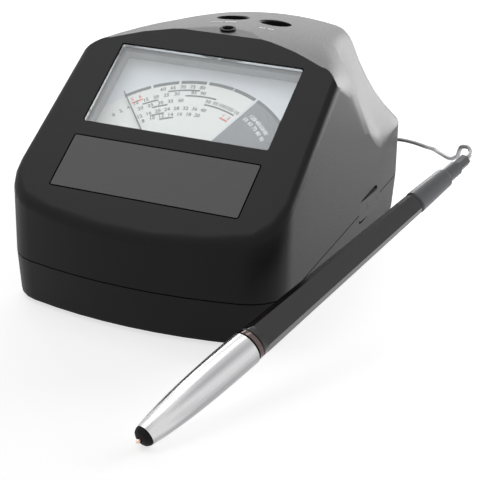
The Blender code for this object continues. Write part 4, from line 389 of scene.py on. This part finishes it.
cable = {"radius": 0.8 * mm, "loopsInLayer": 3, "layers": 4, "pitch": 2.1 * mm, "innerRadius": 5.9 * mm,
         "coilMiddle": (7.0, 118.0, 1.0), "endAngle": 37, "pointsInLoop": 24,
         "penEnd": (89.447, 2.962, 49.689), "plugEnd": (-20.0, 97.130, 26.5),
         "penWay": (0.327908, 0.896702, 0.297324),
         # straight run out of the pen, run in and out of the coil, and where the bend to it ends
         "penRun": 1.6 * mm, "coilRun": 1.9 * mm, "blendTo": 0.84}
# steps of the curve between places, and the gap between points: closer up to "fineTo" from its start
routeSteps = {"between": 40, "fine": 1.2 * mm, "fineTo": 27 * mm, "coarse": 3.0 * mm, "least": 1 * mm}

paints = {}
ownPaints = {}  # nodes with a finish of their own inside a shared slot
for group, metallic in ((finishes, 0.0), (metals, 1.0)):
    for name, spec in group.items():
        paint = grainMaterial(name, spec, metallic)
        if "slot" in spec:
            paints[spec["slot"]] = paint
        for node in spec.get("nodes", ()):
            ownPaints[node] = paint
paints["clear_lens"] = acrylicMaterial()
paints["dial_paint"] = dialMaterial()
paints["chrome"] = chromeMaterial()
paints["board_green"] = boardMaterial()
paints["lamp_clear"] = lampMaterial()
paints["cable_black"] = cableMaterial()
ink = {name: inkMaterial(name + "Ink", colour) for name, colour in inks.items()}
print("materials made:", len(paints) + len(ink))


# cable: one length from the pen to the plug, the spare wound in a coil behind the unit

penRoute = (
    (90.1, 7.4, 50.8), (88.2, 10.8, 51.4), (85.3, 13.0, 50.4), (84.1, 15.4, 48.7),
    (82.9, 18.6, 46.5), (80.7, 25.1, 42.3), (75.1, 36.6, 36.5), (67.0, 50.4, 32.8),
    (60.0, 66.1, 28.0), (53.0, 81.0, 22.8), (43.5, 95.0, 18.6), (33.0, 108.5, 14.0),
    (24.0, 118.0, 9.6))
plugRoute = (
    (11.5, 131.2, 1.0), (4.0, 133.8, 1.0), (-6.0, 133.5, 1.0), (-15.0, 129.5, 1.2),
    (-20.5, 123.5, 3.0), (-22.2, 118.5, 8.5), (-21.4, 113.5, 17.5), (-20.3, 107.0, 24.5))


def coilPoints():
    # winds in and out, layer over layer, from its outer end on the table up to the top
    loop = cable["pointsInLoop"]
    span = cable["loopsInLayer"] * loop
    outer = cable["innerRadius"] + cable["loopsInLayer"] * cable["pitch"]
    points = []
    for step in range(cable["layers"] * span + 1):
        layer = step / span
        inward = layer % 2
        share = inward if inward <= 1 else 2 - inward
        radius = outer - (outer - cable["innerRadius"]) * share
        nearest = round(layer)
        away = (step - nearest * span) / (loop / 4)
        if 0 < nearest < cable["layers"] and abs(away) < 1:
            level = nearest - 0.5 + away / 2
        else:
            level = min(math.floor(layer), cable["layers"] - 1)
        angle = math.radians(cable["endAngle"]) - math.tau * step / loop
        spot = Vector((radius * math.cos(angle), radius * math.sin(angle), level * cable["pitch"]))
        points.append(Vector(cable["coilMiddle"]) * mm + spot)
    return points


def smoothRoute(route, startWay, endWay):
    # Hermite curve through the route, closer points on the tight bends near the pen
    ways = []
    for index, point in enumerate(route):
        if index == 0:
            ways.append(startWay.normalized() * (route[1] - point).length)
        elif index == len(route) - 1:
            ways.append(endWay.normalized() * (point - route[-2]).length)
        else:
            before = point - route[index - 1]
            after = route[index + 1] - point
            middle = (before.normalized() + after.normalized()).normalized()
            ways.append(middle * min(before.length, after.length))
    dense = []
    for index in range(len(route) - 1):
        a, b, m, n = route[index], route[index + 1], ways[index], ways[index + 1]
        for step in range(routeSteps["between"]):
            t = step / routeSteps["between"]
            dense.append(a * (2 * t ** 3 - 3 * t ** 2 + 1) + m * (t ** 3 - 2 * t ** 2 + t)
                         + b * (3 * t ** 2 - 2 * t ** 3) + n * (t ** 3 - t ** 2))
    dense.append(route[-1])
    points = [dense[0]]
    run = since = 0
    for before, after in zip(dense, dense[1:]):
        run += (after - before).length
        since += (after - before).length
        if since >= routeSteps["fine" if run < routeSteps["fineTo"] else "coarse"]:
            points.append(after)
            since = 0
    if since < routeSteps["least"]:
        points.pop()
    points.append(dense[-1])
    return points


def makeCable():
    coil = coilPoints()
    way = Vector(cable["penWay"])
    penEnd = Vector(cable["penEnd"]) * mm
    arrive = coil[-2] - coil[-1]
    arrive.z = 0
    route = [penEnd, penEnd + way * cable["penRun"]] + [Vector(spot) * mm for spot in penRoute]
    top = smoothRoute(route + [coil[-1] - arrive.normalized() * cable["coilRun"]], way, arrive)
    leave = coil[0] - coil[1]
    leave.z = 0
    route = [coil[0] + leave.normalized() * cable["coilRun"]] + [Vector(spot) * mm for spot in plugRoute]
    low = smoothRoute(route + [Vector(cable["plugEnd"]) * mm], leave, Vector((0, -1, 0)))
    points = [point + unitMiddle for point in top + coil[::-1] + low]
    data = bpy.data.curves.new("probeCable", "CURVE")
    data.dimensions = "3D"
    data.bevel_depth = cable["radius"]
    data.bevel_resolution = 3
    data.use_fill_caps = True
    line = data.splines.new("POLY")
    line.points.add(len(points) - 1)
    for spot, point in zip(line.points, points):
        spot.co = (*point, 1)
    line.use_smooth = True
    data.materials.append(paints["cable_black"])
    drawn = bpy.data.objects.new("cableLine", data)
    bpy.context.scene.collection.objects.link(drawn)
    mesh = bpy.data.meshes.new_from_object(drawn.evaluated_get(bpy.context.evaluated_depsgraph_get()))
    bpy.data.objects.remove(drawn)
    bpy.data.curves.remove(data)
    mesh.shade_smooth()
    piece = bpy.data.objects.new("probeCable", mesh)
    bpy.context.scene.collection.objects.link(piece)
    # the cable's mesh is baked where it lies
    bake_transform(piece)
    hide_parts("cable_to_pen", "cable_coil", "cable_to_plug")
    makeTie()


# strap that holds the coil

tie = {"angle": 215, "width": 4.0 * mm, "thickness": 0.14 * mm, "halfReach": 4.15 * mm,
       "halfHeight": 4.08 * mm, "rise": 4.16 * mm, "corner": 0.45, "steps": 40}


def makeTie():
    # soft square loop round the turns, drawn out to the strap's width
    coilMiddle = Vector(cable["coilMiddle"]) * mm
    middle = cable["innerRadius"] + cable["loopsInLayer"] * cable["pitch"] / 2
    bm = bmesh.new()
    bmesh.ops.create_circle(bm, segments=tie["steps"], radius=1)
    for vert in bm.verts:
        across, up = vert.co.x, vert.co.y
        across = math.copysign(abs(across) ** tie["corner"], across) * tie["halfReach"]
        up = math.copysign(abs(up) ** tie["corner"], up) * tie["halfHeight"]
        vert.co = (middle + across, -tie["width"] / 2, tie["rise"] + up)
    grown = bmesh.ops.extrude_edge_only(bm, edges=bm.edges[:])["geom"]
    far = [part for part in grown if isinstance(part, bmesh.types.BMVert)]
    bmesh.ops.translate(bm, vec=(0, tie["width"], 0), verts=far)
    bmesh.ops.recalc_face_normals(bm, faces=bm.faces)
    bmesh.ops.solidify(bm, geom=bm.faces[:], thickness=tie["thickness"])
    turn = Matrix.Rotation(math.radians(tie["angle"]), 4, "Z")
    flat = Vector((coilMiddle.x, coilMiddle.y, 0))
    bmesh.ops.transform(bm, matrix=Matrix.Translation(unitMiddle + flat) @ turn, verts=bm.verts)
    return meshObject("coilTie", bm, paints["plastic_black"], "unit", 40)


makeCable()


# print on the dial: arc, wedge, bars and plain numbers, each a thin skin of ink

dial = {
    "inkLow": 0.02 * mm, "inkThick": 0.03 * mm, "overLift": 0.04 * mm,
    "arc": {"inner": 43.1, "outer": 44.4,
            "pieces": ((131.6, 118.8), (117.6, 105.4), (104.2, 91.9), (90.6, 78.0), (77.4, 65.1))},
    "wedge": {"inner": 10.0, "outer": 43.3, "from": 63.6, "to": 18.0, "lowV": 38.9, "rightX": 36.2},
    "wedgeCap": {"inner": 43.3, "outer": 44.5, "from": 63.8, "to": 30.0},
    "bars": ((40.1, 110.5, 93.8), (37.6, 100.6, 82.9), (34.4, 87.9, 67.0), (37.0, 124.7, 115.8),
             (34.1, 119.9, 110.5), (30.6, 121.9, 112.7), (28.0, 116.0, 106.0)),
    "redBars": ((39.3, 129.7, 123.8), (31.1, 73.6, 67.4)),
    "barWide": 0.62,
    "height": 1.45, "bolder": 0.04 * mm,
    # rows of numbers: radius of the foot of the figures, first angle, angle between, the figures
    "rows": ((40.9, 113.0, 5.0, ("60", "65", "70", "75", "80")), (38.4, 96.5, 5.0, ("85", "90")),
             (35.2, 86.5, 4.6, ("90", "95", "100", "105", "110")),
             (37.9, 128.0, 5.6, ("10", "15", "20", "25", "30")),
             (34.8, 126.4, 5.9, ("20", "25", "30", "35", "40")),
             (31.3, 128.6, 6.0, ("12", "16", "20", "24", "28", "32", "36", "40")),
             (28.7, 127.4, 6.4, ("8", "10", "12", "14", "16", "18", "20")),
             (37.4, 141.2, 4.4, ("0", "2", "4"))),
    "redRows": ((40.2, 128.8, 3.9, ("5", "6")), (31.9, 72.5, 4.4, ("1", "2"))),
    "whiteRows": ((37.3, 57.6, 4.1, ("120", "140", "160", "180")),
                  (35.1, 59.4, 4.4, ("50", "60", "70", "80", "90"))),
}


def inkBand(bm, inner, outer, start, end, low):
    # band round the pivot, spun from one short edge
    first, last = math.radians(start), math.radians(end)
    corners = [bm.verts.new((reach * mm * math.cos(first), reach * mm * math.sin(first), low))
               for reach in (inner, outer)]
    edge = bm.edges.new(corners)
    bmesh.ops.spin(bm, geom=[*corners, edge], cent=(0, 0, 0), axis=(0, 0, 1), angle=last - first,
                   steps=max(3, round(abs(end - start) / 1.5)))


def thicken(bm, rise):
    grown = bmesh.ops.extrude_face_region(bm, geom=bm.faces[:])["geom"]
    bmesh.ops.translate(bm, vec=rise, verts=[part for part in grown if isinstance(part, bmesh.types.BMVert)])


def addFigures(bm, words, height, matrix, thickness):
    # figures set as text, made a mesh, then placed
    data = bpy.data.curves.new("figures", "FONT")
    data.body = words
    data.size = height / 0.7
    data.align_x = "CENTER"
    data.resolution_u = 2
    data.extrude = thickness / 2
    data.offset = dial["bolder"]
    holder = bpy.data.objects.new("figures", data)
    bpy.context.scene.collection.objects.link(holder)
    mesh = bpy.data.meshes.new_from_object(holder.evaluated_get(bpy.context.evaluated_depsgraph_get()))
    mesh.transform(matrix)
    bm.from_mesh(mesh)
    bpy.data.meshes.remove(mesh)
    bpy.data.objects.remove(holder)
    bpy.data.curves.remove(data)


def figureRows(bm, rows, low):
    for radius, first, gap, figures in rows:
        for index, words in enumerate(figures):
            angle = math.radians(first - gap * index)
            spot = Vector((radius * mm * math.cos(angle), radius * mm * math.sin(angle),
                           low + dial["inkThick"] / 2))
            turn = Matrix.Rotation(angle - math.pi / 2, 4, "Z")
            addFigures(bm, words, dial["height"] * mm, Matrix.Translation(spot) @ turn, dial["inkThick"])


def finishPrint(name, bm, material):
    bmesh.ops.transform(bm, matrix=dialFrame, verts=bm.verts)
    return meshObject(name, bm, material, "unit")


def makeDialPrint():
    low = dial["inkLow"]
    bm = bmesh.new()
    for start, end in dial["arc"]["pieces"]:
        inkBand(bm, dial["arc"]["inner"], dial["arc"]["outer"], start, end, low)
    half = dial["barWide"] / 2
    for radius, start, end in dial["bars"]:
        inkBand(bm, radius - half, radius + half, start, end, low)
    thicken(bm, (0, 0, dial["inkThick"]))
    figureRows(bm, dial["rows"], low)
    finishPrint("dialScale", bm, ink["grey"])

    bm = bmesh.new()
    spec = dial["wedge"]
    inkBand(bm, spec["inner"], spec["outer"], spec["from"], spec["to"], low)
    for spot, way in (((0, spec["lowV"] * mm - pivotV, 0), (0, -1, 0)),
                      ((spec["rightX"] * mm, 0, 0), (1, 0, 0))):
        bmesh.ops.bisect_plane(bm, geom=bm.verts[:] + bm.edges[:] + bm.faces[:], plane_co=spot, plane_no=way,
                               clear_outer=True)
    thicken(bm, (0, 0, dial["inkThick"]))
    finishPrint("dialWedge", bm, ink["wedge"])

    bm = bmesh.new()
    cap = dial["wedgeCap"]
    inkBand(bm, cap["inner"], cap["outer"], cap["from"], cap["to"], low)
    bmesh.ops.bisect_plane(bm, geom=bm.verts[:] + bm.edges[:] + bm.faces[:],
                           plane_co=(spec["rightX"] * mm, 0, 0), plane_no=(1, 0, 0), clear_outer=True)
    thicken(bm, (0, 0, dial["inkThick"]))
    finishPrint("dialWedgeCap", bm, ink["darkGrey"])

    bm = bmesh.new()
    for radius, start, end in dial["redBars"]:
        inkBand(bm, radius - half, radius + half, start, end, low)
    thicken(bm, (0, 0, dial["inkThick"]))
    figureRows(bm, dial["redRows"], low)
    finishPrint("dialRedMarks", bm, ink["red"])

    bm = bmesh.new()
    figureRows(bm, dial["whiteRows"], low + dial["overLift"])
    finishPrint("dialWedgeFigures", bm, ink["white"])
    print("dial printed")


makeDialPrint()


# printed marks: plain white bars beside the wells, and small dark I and O on the rocker

marks = {"wide": 1.05 * mm, "lift": 0.03 * mm, "thick": 0.03 * mm, "above": 90,
         "bars": (((-10.8, 13.3), (-7.2, 15.1)), ((-6.2, 15.6), (-2.8, 17.3)), ((7.8, 13.8), (9.9, 14.3)),
                  ((10.8, 14.5), (13.0, 15.0)))}
rockerMarks = {"height": 2.0 * mm, "places": (("O", 26.0), ("I", 35.6)), "middle": (47.6, 27.5, 16.8),
               "out": (0.999388, 0.034979, 0), "lift": 0.02 * mm, "away": 10 * mm}
searchReach = 50 * mm


def layOn(bm, node, way, lift):
    # drops the ink along a direction onto a CAD surface
    tree = BVHTree.FromObject(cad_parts[node], bpy.context.evaluated_depsgraph_get())
    for vert in bm.verts:
        hit = tree.ray_cast(vert.co - way * searchReach, way)[0]
        if hit is not None:
            vert.co = hit - way * lift


def makeMarks():
    bm = bmesh.new()
    for start, end in marks["bars"]:
        a, b = (Vector((*spot, marks["above"])) * mm for spot in (start, end))
        along = (b - a).normalized()
        side = Vector((-along.y, along.x, 0)) * marks["wide"] / 2
        face = bm.faces.new([bm.verts.new(unitMiddle + spot)
                             for spot in (a - side, b - side, b + side, a + side)])
        bmesh.ops.subdivide_edges(bm, edges=face.edges[:], cuts=4, use_grid_fill=True)
    layOn(bm, "upper_shell", Vector((0, 0, -1)), marks["lift"])
    thicken(bm, (0, 0, marks["thick"]))
    meshObject("wellMarks", bm, ink["white"], "unit", 40)

    bm = bmesh.new()
    out = Vector(rockerMarks["out"])
    along = Vector((-out.y, out.x, 0))
    for words, y in rockerMarks["places"]:
        away = (y - rockerMarks["middle"][1]) * mm
        foot = unitMiddle + Vector(rockerMarks["middle"]) * mm + along * away + out * rockerMarks["away"]
        foot.z -= rockerMarks["height"] / 2
        frameHere = Matrix((along, Vector((0, 0, 1)), out)).transposed().to_4x4()
        addFigures(bm, words, rockerMarks["height"], Matrix.Translation(foot) @ frameHere, 0)
    layOn(bm, "power_rocker", -out, rockerMarks["lift"])
    thicken(bm, out * marks["thick"])
    meshObject("rockerMarks", bm, ink["darkGrey"], "rocker", 40)
    print("marks printed")


makeMarks()


# every node gets the finish of its slot, or its own, and rounded shading up to its real edges

softEdges = {"window_lens": 0.30 * mm, "name_plate": 0.15 * mm}  # polished rims that catch a line of light
edgeAngles = {"bevelFrom": 40, "splitFrom": 34}  # in degrees: sharper edges are rounded, or stay sharp


def smoothNode(piece, name):
    piece.data.shade_smooth()
    weld = piece.modifiers.new("weld", "WELD")
    weld.merge_threshold = weldDistance
    if name in softEdges:
        bevel = piece.modifiers.new("bevel", "BEVEL")
        bevel.width = softEdges[name]
        bevel.segments = 2
        bevel.limit_method = "ANGLE"
        bevel.angle_limit = math.radians(edgeAngles["bevelFrom"])
    split = piece.modifiers.new("edges", "EDGE_SPLIT")
    split.split_angle = math.radians(edgeAngles["splitFrom"])
    piece.modifiers.new("normals", "WEIGHTED_NORMAL").keep_sharp = True


for name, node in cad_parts.items():
    smoothNode(node, name)
    for slot in node.material_slots:
        base = slot.material.name.split(".")[0]
        if name in ownPaints:
            slot.material = ownPaints[name]
        elif base in paints:
            slot.material = paints[base]


# floor, backdrop and lamps

stage = {"floorHalf": 3, "floorColour": "#c0c0c0", "floorLift": 0.70, "worldForObject": 0.20}
# where each softbox stands as seen from the unit, how far, how large, and its brightness (1 = paper white)
lamps = {
    "overheadSoftbox": {"way": (-0.37, -0.03, 0.93), "distance": 1.0, "size": (0.68, 0.68), "bright": 1.8},
    "rearSoftbox": {"way": (-0.37, 0.84, 0.40), "distance": 1.1, "size": (1.2, 0.6), "bright": 3.3},
    "rightSoftbox": {"way": (0.50, 0.83, 0.22), "distance": 0.58, "size": (0.45, 0.30), "bright": 11.0},
}


def paperRays(tree):
    # 1 for the rays that should meet white paper: straight from the camera, or by way of metal and glass
    rays = addNode(tree, "LightPath")
    two = addNode(tree, "Math", None, {0: rays.outputs["Is Camera Ray"], 1: rays.outputs["Is Glossy Ray"]},
                  operation="MAXIMUM")
    three = addNode(tree, "Math", None, {0: two.outputs[0], 1: rays.outputs["Is Transmission Ray"]},
                    operation="MAXIMUM")
    return three.outputs[0]


def makeStage():
    bm = bmesh.new()
    bmesh.ops.create_grid(bm, x_segments=1, y_segments=1, size=stage["floorHalf"])
    mesh = bpy.data.meshes.new("floor")
    bm.to_mesh(mesh)
    bm.free()
    floor = bpy.data.objects.new("floor", mesh)
    bpy.context.scene.collection.objects.link(floor)
    material, tree, shader = newMaterial("paperSweep")
    shader.inputs["Base Color"].default_value = linear(stage["floorColour"])
    shader.inputs["Roughness"].default_value = 1.0
    shader.inputs["Specular IOR Level"].default_value = 0.0
    shader.inputs["Emission Color"].default_value = (1, 1, 1, 1)
    lift = addNode(tree, "Math", {1: stage["floorLift"]}, {0: paperRays(tree)}, operation="MULTIPLY")
    tree.links.new(lift.outputs[0], shader.inputs["Emission Strength"])
    mesh.materials.append(material)

    world = bpy.data.worlds.new("studio")
    world.use_nodes = True
    tree = world.node_tree
    level = addNode(tree, "MapRange", {"To Min": stage["worldForObject"], "To Max": 1.0},
                    {"Value": paperRays(tree)})
    back = tree.nodes["Background"]
    back.inputs["Color"].default_value = (1, 1, 1, 1)
    tree.links.new(level.outputs["Result"], back.inputs["Strength"])
    bpy.context.scene.world = world


def makeLamps():
    for name, spec in lamps.items():
        data = bpy.data.lights.new(name, "AREA")
        data.shape = "RECTANGLE"
        data.size, data.size_y = spec["size"]
        data.energy = spec["bright"] * math.pi * data.size * data.size_y
        lamp = bpy.data.objects.new(name, data)
        bpy.context.scene.collection.objects.link(lamp)
        way = Vector(spec["way"]).normalized()
        turn = way.to_track_quat("Z", "Y").to_matrix().to_4x4()
        lamp.matrix_world = Matrix.Translation(unitMiddle + way * spec["distance"]) @ turn
        lamp.visible_camera = False


makeStage()
makeLamps()
print("stage and lamps made")

bpy.context.scene.view_settings.view_transform = "Standard"
